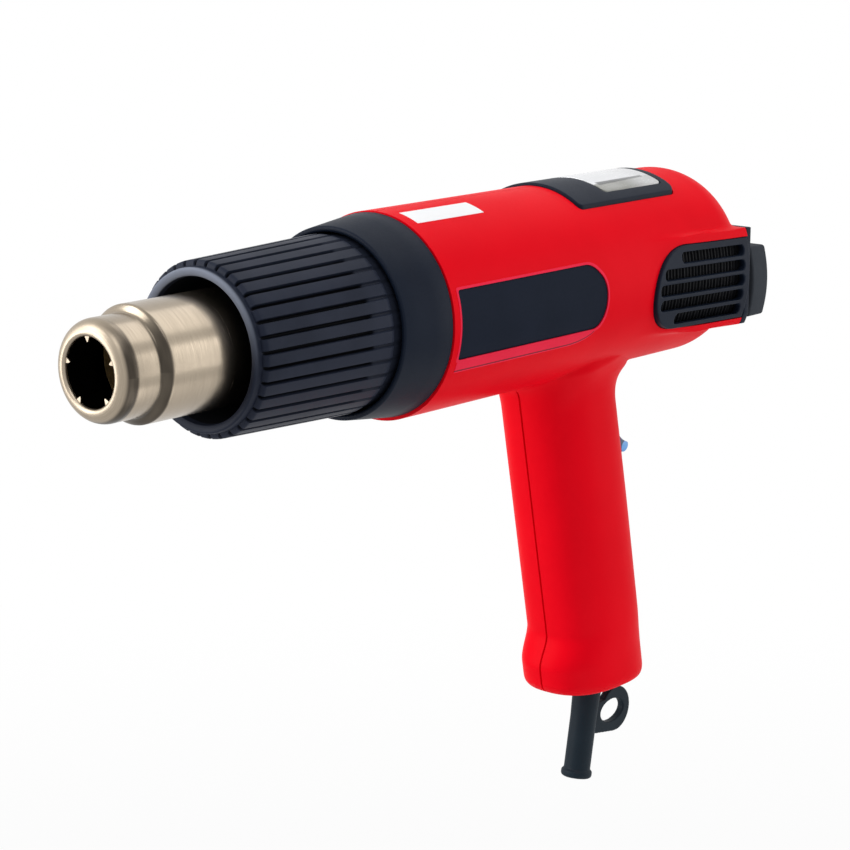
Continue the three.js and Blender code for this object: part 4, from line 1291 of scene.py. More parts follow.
@dataclass
class Inlay:
    """The dark inlay on each side of the barrel and the printed strip below it."""

    skin: Skin
    front: float = 4.0
    length: float = 83.0
    high: float = 24.2
    thick: float = 1.2
    sunk: float = 0.3
    gap: float = 0.3
    strip_low: float = -16.0
    strip_bend: float = 67.5
    strip_end: float = 81.0
    film: float = 0.1
    film_sunk: float = 0.2
    line: float = 0.45
    line_proud: float = 0.02
    rim: float = 0.9
    fit: float = 0.05
    corner: float = 1.2
    spare: float = 2.0  # what a tube is longer than the plate cut from it

    @property
    def radius(self) -> float:
        """Radius of the barrel."""
        return self.skin.radius

    def outline(self, grow: float) -> list[Point2]:
        """Outline seen from the side.

        Args:
            grow: How far outside the inlay.

        Returns:
            The outline.
        """
        x0, x1 = self.front - grow, self.front + self.length + grow
        top = self.high / 2 + grow
        big, small, corner = self.high * 0.52, self.high * 0.28, self.corner
        made = [(x0 + corner, -top), (x1 - small, -top)]
        made += bend(made[-1], (x1 - small * 0.3, -top), (x1 - small * 0.1, -top + small * 1.1), 10)
        made += bend(made[-1], (x1 + small * 0.1, top - big * 0.6), (x1 - big * 0.35, top - big * 0.28), 12)
        made += bend(made[-1], (x1 - big * 0.6, top), (x1 - big, top), 10)
        made += [(x0 + corner, top)]
        made += bend(made[-1], (x0, top), (x0, top - corner), 4)
        made += [(x0, -top + corner)]
        return made + bend(made[-1], (x0, -top), (x0 + corner, -top), 4)[:-1]

    def wrapped(self, outline: Sequence[Point2], outer: float, inner: float) -> Solid:
        """Plate of that outline on the left side of the barrel.

        Args:
            outline: Its outline seen from the side.
            outer: Outer radius.
            inner: Inner radius.

        Returns:
            The plate.
        """
        xs = [x for x, _ in outline]
        tube = self.skin.tube(min(xs) - self.spare, max(xs) + self.spare, outer, inner)
        return tube & raised(outline, Facing.Y, -FAR, -self.radius / 3)

    def plate(self) -> Solid:
        """The inlay of the left side."""
        outer = self.radius - self.sunk
        return self.wrapped(self.outline(0.0), outer, outer - self.thick)

    def recess(self) -> Solid:
        """Recess of the left side."""
        floor = self.radius - self.sunk - self.thick - self.gap
        return self.wrapped(self.outline(self.fit), self.radius * 2, floor)

    def strip_outline(self, drop: float) -> list[Point2]:
        """Outline of the strip below the inlay.

        Args:
            drop: How far its lower edge lies below the strip's own.

        Returns:
            The outline.
        """
        top = -self.high / 2 - self.rim
        low = self.strip_low - drop
        made = [(self.front, low), (self.strip_bend, low)]
        made += bend(made[-1], (self.strip_end - 4.0 + drop, low + 0.4), (self.strip_end + drop, top), 10)
        return made + [(self.front, top)]

    def build(self, bench: Bench) -> None:
        """Add the inlays, their rims and the strips.

        Args:
            bench: Where pieces are placed.
        """
        skin, under = self.radius + self.film, self.radius - self.film_sunk
        strip, lined, edged = (self.strip_outline(self.line * n) for n in range(3))
        rim = self.wrapped(self.outline(self.rim), skin, under) - raised(self.outline(self.fit), Facing.Y, -FAR, 0.0)
        edge = self.wrapped(edged, skin, under) - raised(lined, Facing.Y, -FAR, 0.0)
        line = self.wrapped(lined, skin + self.line_proud, under) - raised(strip, Facing.Y, -FAR, 0.0)
        sets = [
            ("side_inlay", self.plate(), "inlay_film", "side_inlay", "inlay_film"),
            ("inlay_rim", rim, "strip_red", None, "red_shell"),
            ("print_strip", self.wrapped(strip, skin, under), "strip_red", None, "red_shell"),
            ("print_line", line, "line_dark", None, "red_shell"),
            ("print_edge", edge, "strip_red", None, "red_shell"),
        ]
        for name, solid, finish, node, slot in sets:
            for side, made in (("left", solid), ("right", solid.mirrored())):
                stands = [f"{node}_{side}"] if node else []
                bench.put(f"{name}_{side}_skin", made, finish, stands)


@dataclass
class Display:
    """The display on top: bezel and window."""

    radius: float
    front: float = 88.8
    length: float = 60.8
    half: float = 21.3
    proud: float = 1.1
    thick: float = 2.3
    nose: float = 2.0
    tail: float = 4.5
    lens_front: float = 21.0
    lens_length: float = 35.9
    lens_half: float = 16.9
    lens_corner: float = 1.6
    lens_proud: float = 0.1
    gap: float = 0.3
    spare: float = 2.0  # what a tube is longer than the plate cut from it
    sides: int = 480

    @property
    def outer(self) -> float:
        """Outer radius of the bezel."""
        return self.radius + self.proud

    def outline(self, grow: float) -> list[Point2]:
        """Outline of the bezel from above.

        Args:
            grow: How far outside the bezel.

        Returns:
            The outline.
        """
        x0, x1 = self.front - grow, self.front + self.length + grow
        half, nose, tail = self.half + grow, (self.nose, self.nose), (self.tail, self.tail)
        made = arc((x1 - self.tail, -half + self.tail), tail, -90, 0, 10)
        made += arc((x1 - self.tail, half - self.tail), tail, 0, 90, 10)
        made += arc((x0 + self.nose, half - self.nose), nose, 90, 180, 8)
        return made + arc((x0 + self.nose, -half + self.nose), nose, 180, 270, 8)

    def window(self, inset: float) -> list[Point2]:
        """Outline of the window from above.

        Args:
            inset: How far inside the opening.

        Returns:
            The outline.
        """
        x0 = self.front + self.lens_front + inset
        x1 = self.front + self.lens_front + self.lens_length - inset
        half = self.lens_half - inset
        return rounded_box(x0, x1, -half, half, self.lens_corner)

    def saddle(self, outline: Sequence[Point2], outer: float, inner: float) -> Solid:
        """Curved plate of that outline on top of the barrel.

        Args:
            outline: Its outline from above.
            outer: Outer radius.
            inner: Inner radius.

        Returns:
            The plate.
        """
        xs = [x for x, _ in outline]
        x0, x1 = min(xs) - self.spare, max(xs) + self.spare
        tube = BARREL.turned([(x0, inner), (x0, outer), (x1, outer), (x1, inner)], self.sides)
        return tube & raised(outline, Facing.Z, 0.0, FAR)

    def recess(self) -> Solid:
        """Seat of the bezel in the housing."""
        return self.saddle(self.outline(self.gap), self.radius * 2, self.outer - self.thick - self.gap)

    def opening(self) -> Solid:
        """Opening under the window."""
        return raised(self.window(0.0), Facing.Z, self.radius / 2, FAR)

    def build(self, bench: Bench) -> None:
        """Add bezel and window and dress what lies below.

        Args:
            bench: Where pieces are placed.
        """
        inner = self.outer - self.thick
        bezel = self.saddle(self.outline(0.0), self.outer, inner)
        bezel = bezel - raised(self.window(0.0), Facing.Z, 0.0, FAR)
        bench.put("display_frame", bezel.moulded(0.34, 3), "black_plastic", ["display_bezel"],
                  crease=80.0)
        lens = self.saddle(self.window(self.gap), self.outer + self.lens_proud, inner + self.gap)
        bench.put("display_window", lens.joined_close(0.02).eased(0.2, 2, 50.0), "display_window", ["display_lens"])
        bench.dress("display_module", "display_glass")
        bench.dress("display_board", "circuit_board")


@dataclass
class Intake:
    """The intake band: grilles, screens, rear cover and stand."""

    skin: Skin
    proud: float = 1.4
    rear_inset: float = 10.8
    low: float = 4.2
    top: float = 15.6
    deep: float = 22.8
    tilt: float = 0.039
    grille_length: float = 61.7
    grille_top: float = 12.35
    grille_deep: float = 20.1
    grille_nose: float = 6.0
    grille_round: float = 15.5
    grille_sweep: float = 20.8
    grille_thick: float = 2.8
    slots: int = 5
    slot_high: float = 4.3
    slot_pitch: float = 5.8
    slot_margin: float = 2.0
    slot_shy: float = 4.8
    slot_end: float = 3.7
    screen_thick: float = 0.8
    screen_pitch: float = 2.1
    screen_steps: int = 8
    screen_front: float = 2.4
    screen_rear: float = 2.0
    screen_shy: float = 1.8
    screen_inset: float = 1.4
    rib_high: float = 0.7
    cover_thick: float = 3.6
    gap: float = 0.3
    stand_depth: float = 11.8
    stand_reach: float = 35.6
    stand_bow: float = 46.0
    stand_low: float = 8.1
    stand_half: float = 13.9
    stand_neck: float = 1.5
    stand_edge: float = 0.8
    stand_corner: float = 1.4
    neck_inset: float = 3.2
    flat_r: float = 52.0
    widest: float = 1.4

    @property
    def radius(self) -> float:
        """Half width of the band."""
        return self.skin.radius + self.proud

    @property
    def end(self) -> float:
        """Rear end of the band."""
        return self.skin.length - self.rear_inset

    @property
    def off(self) -> float:
        """How far the axis of a side lies beyond the middle plane."""
        return self.flat_r - self.radius

    @property
    def front(self) -> float:
        """Front of the grilles."""
        return self.end - self.grille_length

    def shift(self, x: float) -> float:
        """How far the band is raised at a distance behind the collar."""
        return -self.tilt * (x - (self.front + self.end) / 2)

    def tilted(self, solid: Solid) -> Solid:
        """The solid, dropping towards the rear like the whole band.

        Args:
            solid: The solid.

        Returns:
            The tilted copy.
        """
        slope = Matrix.Identity(4)
        slope[2][0], slope[2][3] = -self.tilt, self.shift(0.0)
        return solid.edited(lambda work: work.transform(slope))

    def section(self, grow: float) -> list[Point2]:
        """Section of the band: two wide arcs cut off flat above and below.

        Args:
            grow: How far outside the band.

        Returns:
            The outline in Y and Z.
        """
        radius, top, deep = self.flat_r + grow, self.top + grow, -self.deep - grow
        high = math.degrees(math.asin((top + self.widest) / radius))
        down = math.degrees(math.asin((deep + self.widest) / radius))
        both = (radius, radius)
        made = arc((-self.off, -self.widest), both, down, high, 48)
        return made + arc((self.off, -self.widest), both, 180 - high, 180 - down, 48)

    def side_wall(self, outer: float, inner: float) -> Solid:
        """Curved wall of the left side.

        Args:
            outer: Outer face, inside the band's surface.
            inner: Inner face, inside the band's surface.

        Returns:
            The wall.
        """
        middle, far, near = (self.off, -self.widest), self.flat_r - outer, self.flat_r - inner
        outline = arc(middle, (far, far), 152, 208, 160) + arc(middle, (near, near), 208, 152, 160)
        return raised(outline, Facing.X, self.front - 2.0, self.end + 2.0)

    def reach(self, x: float, angle: np.ndarray) -> np.ndarray:
        """Radius of the band seen from the barrel axis.

        Args:
            x: Distance behind the collar.
            angle: Angles from +Y towards +Z.

        Returns:
            The radii.
        """
        raise_by = self.shift(x)
        low, top, deep = self.widest - raise_by, self.top + raise_by, self.deep - raise_by
        sin, cos = np.sin(angle), np.cos(angle)
        toward = -self.off * np.abs(cos) - low * sin
        round_part = toward + np.sqrt(toward ** 2 - self.off ** 2 - low ** 2 + self.flat_r ** 2)
        up = np.where(sin > 1e-6, top / np.maximum(sin, 1e-6), np.inf)
        down = np.where(sin < -1e-6, deep / np.maximum(-sin, 1e-6), np.inf)
        return np.minimum(np.minimum(round_part, up), down)

    def outline(self, inset: float) -> list[Point2]:
        """Outline of a grille seen from the side.

        Args:
            inset: How far inside its opening.

        Returns:
            The outline.
        """
        top, deep, nose = self.grille_top - inset, self.grille_deep - inset, -self.grille_nose
        upper, lower = self.front + self.grille_sweep, self.front + self.grille_round
        made = [(self.end - inset, -deep), (self.end - inset, top)]
        made += arc((upper, nose), (self.grille_sweep - inset, top - nose), 90, 180, 24)
        return made + arc((lower, nose), (self.grille_round - inset, deep + nose), 180, 270, 24)[1:]

    def nose_at(self, z: float) -> float:
        """Where the outline of a grille begins at a height.

        Args:
            z: The height.

        Returns:
            The distance behind the collar.
        """
        off = z + self.grille_nose
        length = self.grille_sweep if off > 0 else self.grille_round
        high = self.grille_top + self.grille_nose if off > 0 else self.grille_deep - self.grille_nose
        part = min(1.0, abs(off) / high)
        return self.front + length * (1.0 - math.sqrt(1.0 - part * part))

    def grille(self) -> Solid:
        """The left grille with its slots.

        Returns:
            The grille.
        """
        plate = self.side_wall(0.0, self.grille_thick)
        plate = plate & raised(self.outline(self.gap), Facing.Y, -FAR, -self.radius / 2)
        for n in range(self.slots):
            low = (n - (self.slots - 1) / 2) * self.slot_pitch - self.low - self.slot_high / 2
            high = low + self.slot_high
            shy = self.slot_shy if n in (0, self.slots - 1) else 0.0
            front = max(self.nose_at(low), self.nose_at(high)) + self.slot_margin + shy
            slot = rounded_box(front, self.end - self.slot_end, low, high, self.slot_high * 0.42, 8)
            plate = plate - raised(slot, Facing.Y, -FAR, -self.radius / 2)
        return self.tilted(plate.moulded(0.3, 2))

    def screen(self) -> Solid:
        """The left dust screen, ribbed from top to bottom.

        Returns:
            The screen.
        """
        steps = int((self.grille_length - 6.0) / self.screen_pitch) * self.screen_steps
        x = np.linspace(self.front + self.screen_front, self.end - self.screen_rear, steps)
        outer = self.flat_r - self.grille_thick - self.gap
        z = np.linspace(-self.grille_deep + self.screen_shy, self.grille_top - self.screen_shy, 40)
        rib = self.rib_high * smooth(np.sin(2 * math.pi * x / self.screen_pitch) * 1.6 + 0.1)
        high = z[None, :] + self.widest
        grids = []
        for radius in (outer - self.rib_high + rib, np.full_like(x, outer - self.screen_thick - 0.4)):
            side = self.off - np.sqrt(radius[:, None] ** 2 - high ** 2)
            grids.append(np.stack(np.broadcast_arrays(x[:, None], side, high - self.widest), axis=-1))
        return self.tilted(sheet(*grids) & raised(self.outline(self.screen_inset), Facing.Y, -FAR, 0.0))

    def cover(self) -> Solid:
        """The rear cover, set back at its sides.

        Returns:
            The cover.
        """
        start, half = self.end + self.gap, self.radius - self.grille_thick
        plate = raised(self.section(0.0), Facing.X, start, start + self.cover_thick)
        plate = plate & block((-FAR, -half, -FAR), (FAR, half, FAR))
        return self.tilted(plate.joined_close(0.02).eased(0.5, 3, 30.0))

    def pocket(self) -> Solid:
        """Room for the cover behind the band."""
        return self.tilted(raised(self.section(self.gap), Facing.X, self.end, self.end + FAR / 10))

    def stand(self) -> Solid:
        """The stand at the rear, with bowed sides on a narrower neck.

        Returns:
            The stand.
        """
        start = self.end + self.cover_thick + 2 * self.gap
        turns = np.linspace(0.0, math.pi / 2, 6)
        ends = [(self.stand_edge * (1 - math.sin(t)), self.stand_edge * (1 - math.cos(t))) for t in turns[::-1]]
        places = [(0.0, self.neck_inset), (self.stand_neck, self.neck_inset)]
        places += [(self.stand_neck + x, lip) for x, lip in ends]
        places += [(self.stand_depth - x, lip) for x, lip in reversed(ends)]
        rows = []
        for x, lip in places:
            ring = self.stand_ring(self.stand_reach - lip, self.stand_half - lip)
            rows.append([(start + x, y, z) for y, z in ring])
        return loft(np.array(rows))

    def stand_ring(self, reach: float, half: float) -> list[Point2]:
        """Outline of the stand with rounded corners.

        Args:
            reach: Half width.
            half: Half height.

        Returns:
            The outline in Y and Z.
        """
        corner, bow, middle = self.stand_corner, self.stand_bow, reach - self.stand_bow
        high = math.degrees(math.asin((half - corner) / bow))
        side = arc((middle, 0.0), (bow, bow), -high, high, 24)
        end_y = side[-1][0]
        side = arc((end_y - corner, -half + corner), (corner, corner), -90, -8, 5) + side[1:-1]
        side += arc((end_y - corner, half - corner), (corner, corner), 8, 90, 5)
        flat = [(float(y), half) for y in np.linspace(end_y - corner, corner - end_y, 26)[1:-1]]
        full = side + flat + [(-y, -z) for y, z in side] + [(-y, -z) for y, z in flat]
        return [(y, z - self.stand_low) for y, z in full]

    def build(self, bench: Bench) -> None:
        """Add the pieces of the band.

        Args:
            bench: Where pieces are placed.
        """
        grille, screen = self.grille(), self.screen()
        for side, mirror in (("left", False), ("right", True)):
            bench.put(f"grille_{side}_plate", grille.mirrored() if mirror else grille, "black_plastic",
                      [f"intake_grille_{side}"], crease=80.0)
            bench.put(f"screen_{side}_mesh", screen.mirrored() if mirror else screen, "screen_mesh",
                      [f"dust_screen_{side}"])
        bench.put("rear_cover_plate", self.cover(), "black_plastic", ["rear_cover"])
        bench.put("rear_stand_foot", self.stand(), "stand_rubber", ["rear_stand"], crease=50.0)


@dataclass
class Barrel:
    """The red clamshell with barrel, intake band and handle."""

    handle: Handle
    rocker: Rocker
    inlay: Inlay
    display: Display
    intake: Intake
    skin: Skin
    dome_length: float = 24.6
    dome_fillet: float = 22.0
    dome_slope: float = math.radians(33.4)
    edge: float = 2.0
    wall: float = 3.0
    gap: float = 0.3
    sides: int = 240
    band_from: float = 112.0
    band_to: float = 152.0
    band_soft: float = 0.8
    tongue_lap: float = 0.05
    tongue_shy: float = 0.02
    hollow_at: tuple[float, ...] = (0.0, 60.0, 80.0, 100.0, 120.0, 150.0, 160.0, 168.0)
    root_x: Point2 = (60.0, 145.0)  # where the inner corner of the handle is looked for
    root_y: Point2 = (4.0, 26.0)
    root_z: Point2 = (-46.0, -24.0)
    root_span: Point2 = (-52.0, -20.0)
    root_angle: float = math.radians(14.0)
    root_reach: float = 3.6
    root_passes: int = 8

    @property
    def radius(self) -> float:
        """Radius of the barrel."""
        return self.skin.radius

    @property
    def length(self) -> float:
        """Length of the barrel behind the collar."""
        return self.skin.length

    def profile(self, x: float) -> float:
        """Radius of the round barrel at a distance behind the collar.

        Args:
            x: The distance.

        Returns:
            The radius.
        """
        start = self.length - self.dome_length
        turn = self.dome_fillet * math.sin(self.dome_slope)
        if x <= start:
            return self.radius
        if x <= start + turn:
            return self.radius - self.dome_fillet + math.sqrt(self.dome_fillet ** 2 - (x - start) ** 2)
        cone = self.radius - self.dome_fillet * (1.0 - math.cos(self.dome_slope))
        radius = cone - (x - start - turn) * math.tan(self.dome_slope)
        tail = max(0.0, (x - self.length + self.edge) / self.edge)
        return radius - 2.0 * self.edge * (1.0 - math.sqrt(max(0.0, 1.0 - tail * tail)))

    def ring(self, x: float, inset: float, band: bool = True) -> np.ndarray:
        """One section of barrel and band.

        Args:
            x: Distance behind the collar.
            inset: How far inside the surface.
            band: Whether the band is part of it.

        Returns:
            The points.
        """
        angle = np.linspace(0.0, 2.0 * math.pi, self.sides, endpoint=False)
        base = self.profile(x) - inset + self.skin.drop(x, angle)
        if band and x <= self.intake.end:
            wide = self.intake.reach(x, angle) - inset
            share = float(smooth((x - self.band_from) / (self.band_to - self.band_from)))
            soft, over = self.band_soft, wide - base
            lift = np.where(over > -40.0, soft * np.logaddexp(0.0, over / soft), 0.0)
            base = base + share * np.minimum(lift, np.maximum(over, 0.0) + soft)
        return np.stack([np.full_like(angle, x), base * np.cos(angle), base * np.sin(angle)], axis=1)

    def outer(self, inset: float = 0.0) -> Solid:
        """Full form of barrel and band.

        Args:
            inset: How far inside the surface.

        Returns:
            The form.
        """
        start = self.length - self.dome_length
        xs = np.concatenate([
            [self.gap], np.linspace(self.gap + 0.5, 94.0, 40), np.linspace(96.0, start, 44),
            np.linspace(start + 1.0, self.intake.end, 20),
            np.linspace(self.intake.end + 0.05, self.length - self.edge, 10),
            self.length - self.edge + self.edge * np.sin(np.linspace(0.2, 1.57, 8)),
        ])
        return loft(np.stack([self.ring(float(x), inset) for x in xs]))

    def inner(self) -> Solid:
        """The hollow of the barrel and the band.

        Returns:
            The hollow.
        """
        rings = [self.ring(x, self.wall, False) for x in (*self.hollow_at, self.intake.end - self.wall)]
        rings[0][:, 0] -= 5.0  # opens the front
        round_part = loft(np.stack(rings))
        room = raised(self.intake.section(-self.wall), Facing.X, self.intake.front + self.intake.grille_round,
                      self.intake.end + 1.0)
        return round_part + self.intake.tilted(room)

    def soften_root(self, work: bmesh.types.BMesh) -> None:
        """Round the inner corner between barrel and handle.

        Args:
            work: The joined mesh.
        """
        crease = []
        for edge in work.edges:
            middle = (edge.verts[0].co + edge.verts[1].co) / 2
            places = zip((middle.x, abs(middle.y), middle.z), (self.root_x, self.root_y, self.root_z))
            near = all(low < place < high for place, (low, high) in places)
            if near and edge.is_manifold and edge.calc_face_angle() > self.root_angle:
                crease.append(tuple(middle))
        if not crease:
            return
        marks, chosen = np.array(crease), []
        for vert in work.verts:
            near = self.root_span[0] < vert.co.z < self.root_span[1]
            if near and np.min(np.sum((marks - np.array(vert.co)) ** 2, axis=1)) < self.root_reach ** 2:
                chosen.append(vert)
        for _ in range(self.root_passes):
            bmesh.ops.smooth_vert(work, verts=chosen, factor=0.5, use_axis_x=True, use_axis_y=True, use_axis_z=True)
        LOG.info("handle root eased over %d points", len(chosen))

    def whole(self, relief_room: Solid) -> Solid:
        """The shell before it is split.

        Args:
            relief_room: Hole for the strain relief.

        Returns:
            The shell.
        """
        body = (self.outer() + self.handle.outer()).edited(self.soften_root)
        body = body - self.inner()
        body = body - self.handle.inner(self.wall)
        recess = self.inlay.recess()
        grille = self.intake.tilted(raised(self.intake.outline(0.0), Facing.Y, -FAR, -self.radius / 2))
        for cut in (recess, grille):
            body = body - cut
            body = body - cut.mirrored()
        for cut in (self.display.recess(), self.display.opening(), self.intake.pocket(), self.rocker.opening(),
                    relief_room, self.handle.seam()):
            body = body - cut
        return body

    def build(self, bench: Bench, relief_room: Solid) -> None:
        """Add both halves; the left one has a tongue that closes the split.

        Args:
            bench: Where pieces are placed.
            relief_room: Hole for the strain relief.
        """
        body = self.whole(relief_room)
        half = self.gap / 2
        deep = self.handle.seam_depth
        tongue = block((-FAR, -half - self.tongue_lap, -FAR), (FAR, half - self.tongue_shy, FAR))
        tongue = (self.outer(deep) + self.handle.outer(deep)) & tongue
        left = (body & block((-FAR, -FAR, -FAR), (FAR, -half, FAR))) + (body & tongue)
        right = body & block((-FAR, half, -FAR), (FAR, FAR, FAR))
        bench.put("shell_left", left, "red_shell", ["housing_left"])
        bench.put("shell_right", right, "red_shell", ["housing_right"])


@dataclass
class FrontEnd:
    """Collar, heat shield and nozzle."""

    radius: float
    collar_len: float = 22.0
    collar_draft: float = 2.4
    collar_step: float = 0.4
    collar_bulge: tuple[Point2, ...] = ((7.0, 0.3), (14.0, 0.64))  # behind the front edge, and share of the draft
    spigot_len: float = 6.0
    edge_in: float = 0.8
    edge_front: float = 0.9
    edge_rear: float = 0.6
    reach: float = 86.0
    inset: float = 5.2
    taper: float = 1.9
    shield_wall: float = 3.0
    ribs: int = 36
    rib_depth: float = 2.1
    rib_steps: int = 20
    rib_end: float = -33.5
    rib_fade: float = 2.0
    faint_depth: float = 0.75
    groove_half: float = 0.13  # shares of a rib's pitch
    groove_edge: float = 0.05
    shield_end: float = 4.0
    nozzle_reach: float = 132.2
    tube_r: float = 19.4
    step_drop: float = 2.6
    roll_wide: float = 5.4
    roll_long: float = 5.2
    tube_wall: float = 1.1
    step_at: float = 16.6
    shoulder: float = 1.4
    crest: float = 0.22
    nozzle_end: float = 8.0
    flange_wide: float = 3.0
    flange_thick: float = 2.0
    tabs: int = 5
    first_tab: float = -5.0  # degrees
    gap: float = 0.3
    wall: float = 3.0

    @property
    def root_r(self) -> float:
        """Radius over the ribs at the collar."""
        return self.radius - self.inset

    @property
    def taper_reach(self) -> float:
        """Length over which the shield tapers."""
        return self.reach * 0.7

    def collar(self) -> Solid:
        """The collar round the root of the shield.

        Returns:
            The collar.
        """
        outer = self.radius - self.collar_step
        tip = outer - self.collar_draft
        bore, spigot = self.root_r + self.gap, self.radius - self.wall - self.gap
        front, within, ahead, behind = -self.collar_len, self.edge_in, self.edge_front, self.edge_rear
        profile = [(front + 0.7, bore)]
        profile += arc((front + within, bore + 0.9), (within, within), 225, 180, 3)
        profile += arc((front + ahead, tip - ahead), (ahead, ahead), 180, 96, 6)
        profile += [(front + along, tip + (outer - tip) * share) for along, share in self.collar_bulge]
        profile += arc((-behind, outer - behind), (behind, behind), 84, 0, 5)
        profile += [(0.0, spigot), (self.spigot_len, spigot), (self.spigot_len, bore)]
        return BARREL.turned(profile, 240)

    def land(self, x: float) -> float:
        """Radius over the ribs at a distance behind the collar's rear plane."""
        share = min(1.0, (x + self.reach) / self.taper_reach)
        return self.root_r - self.taper * (1.0 - share)

    def shield_ring(self, x: float, depth: float, drop: float) -> np.ndarray:
        """One ring of the shield with its grooves.

        Args:
            x: Distance behind the collar's rear plane.
            depth: Depth of the grooves.
            drop: How far the lands lie below their full radius.

        Returns:
            The points.
        """
        sides = self.ribs * self.rib_steps
        phase = (np.arange(sides) % self.rib_steps) / self.rib_steps
        groove = smooth((self.groove_half - np.abs(phase - 0.5)) / self.groove_edge)
        return BARREL.ring(x, self.land(x) - drop - depth * groove, sides)

    def shield(self) -> Solid:
        """The ribbed heat shield.

        Returns:
            The shield.
        """
        front, root, end = -self.reach, -self.collar_len, self.shield_end
        full, faint, fade = self.rib_depth, self.faint_depth, self.rib_end - self.rib_fade
        lip = full - 0.1
        rows = [(front + 0.5 - 0.5 * math.cos(t), 0.0, lip + 1.0 - 0.8 * math.sin(t)) for t in np.linspace(0, 1.57, 5)]
        rows += [(front + 2.0, 0.0, lip), (front + 2.5, 0.0, lip - 0.05)]
        for t in np.linspace(0.15, 1.57, 8):
            rows.append((front + 2.5 + 1.4 * (1 - math.cos(t)), full * math.sin(t), lip * (1 - math.sin(t))))
        rows += [(x, full, 0.0) for x in np.linspace(front + 5.0, fade, 10)]
        rows += [(fade + 2.2 * t, full - (full - faint) * float(smooth(t)), 0.0) for t in np.linspace(0.2, 1.0, 7)]
        rows += [(x, faint, 0.0) for x in np.linspace(self.rib_end + self.rib_fade, root - 3.2, 4)]
        rows += [(root - 2.6, 0.45, 0.35), (root - 2.0, 0.1, 0.85), (root * 0.4, 0.0, 0.85),
                 (root * 0.4 + 0.2, 0.0, 0.0), (end, 0.0, 0.0)]
        rings = [self.shield_ring(x, depth, drop) for x, depth, drop in rows]
        sides = self.ribs * self.rib_steps
        bore = self.root_r - self.taper - full - self.shield_wall
        floor = self.root_r - full - self.shield_wall
        inside = [(end, floor), (root, floor), (front * 0.8, bore), (front + 2.0, bore),
                  (front + 0.8, bore + 0.25), (front + 0.25, bore + 0.9)]
        rings += [BARREL.ring(x, radius, sides) for x, radius in inside]
        return loft(np.stack(rings), capped=False)

    def nozzle(self) -> Solid:
        """The stepped nozzle with its rolled mouth and bent tabs.

        Returns:
            The nozzle.
        """
        mouth, wall = -self.nozzle_reach, self.tube_wall
        tip = self.tube_r - self.step_drop
        hole = tip - self.roll_wide
        crest = hole + self.roll_wide * self.crest
        lip = crest - hole
        rim = [(mouth + 2.2, hole + 0.5), (mouth + 1.5, hole)]
        rim += arc((mouth + lip, crest), (lip, lip), 265, 190, 6)
        rim += arc((mouth + self.roll_long, crest), (self.roll_long, tip - crest), 180, 92, 20)
        at = mouth + self.step_at
        body = [(at - self.shoulder - 3.0, tip), (at - self.shoulder - 0.8, tip)]
        for t in np.linspace(0.0, 1.0, 12):
            body.append((at + self.shoulder * (2.0 * t - 1.0), tip + self.step_drop * float(smooth(t))))
        body += [(at + self.shoulder + 0.8, self.tube_r), (at + self.shoulder + 4.0, self.tube_r)]
        rear, inner, flange = self.nozzle_end, self.tube_r - wall, self.tube_r + self.flange_wide
        ahead = rear - self.flange_thick
        tail = [(ahead, self.tube_r), (ahead, flange), (rear, flange), (rear, inner)]
        inside = [(at + self.shoulder + wall, inner), (at, tip - wall), (mouth + self.roll_long, tip - wall),
                  (mouth + self.roll_long * 0.5, tip - 2 * wall), (mouth + 2.6, hole + 1.4)]
        tube = BARREL.turned(rim + body + tail + inside, 180)
        for n in range(self.tabs):
            tube = tube + self.tab(mouth, hole, math.radians(n * 360 / self.tabs + self.first_tab))
        return tube

    @staticmethod
    def tab(mouth: float, hole: float, turn: float) -> Solid:
        """One tab bent in at the mouth.

        Args:
            mouth: Front of the nozzle.
            hole: Radius of the mouth.
            turn: Angle round the axis.

        Returns:
            The tab.
        """
        outline = [(-1.5, hole + 0.9), (1.5, hole + 0.9), (0.8, hole - 0.4), (0.2, hole - 1.7), (-0.2, hole - 1.7),
                   (-0.8, hole - 0.4)]
        cos, sin = math.cos(turn), math.sin(turn)
        rings = []
        for x in (mouth + 0.9, mouth + 1.5):
            rings.append([(x, y * cos - z * sin, y * sin + z * cos) for y, z in outline])
        return loft(np.array(rings))

    def build(self, bench: Bench) -> None:
        """Add the pieces of the front end.

        Args:
            bench: Where pieces are placed.
        """
        bench.put("collar_ring", self.collar(), "black_plastic", ["front_collar"])
        bench.put("shield_ribbed", self.shield(), "shield_plastic", ["heat_shield"])
        bench.put("nozzle_pipe", self.nozzle(), "nozzle_steel", ["nozzle_tube"])


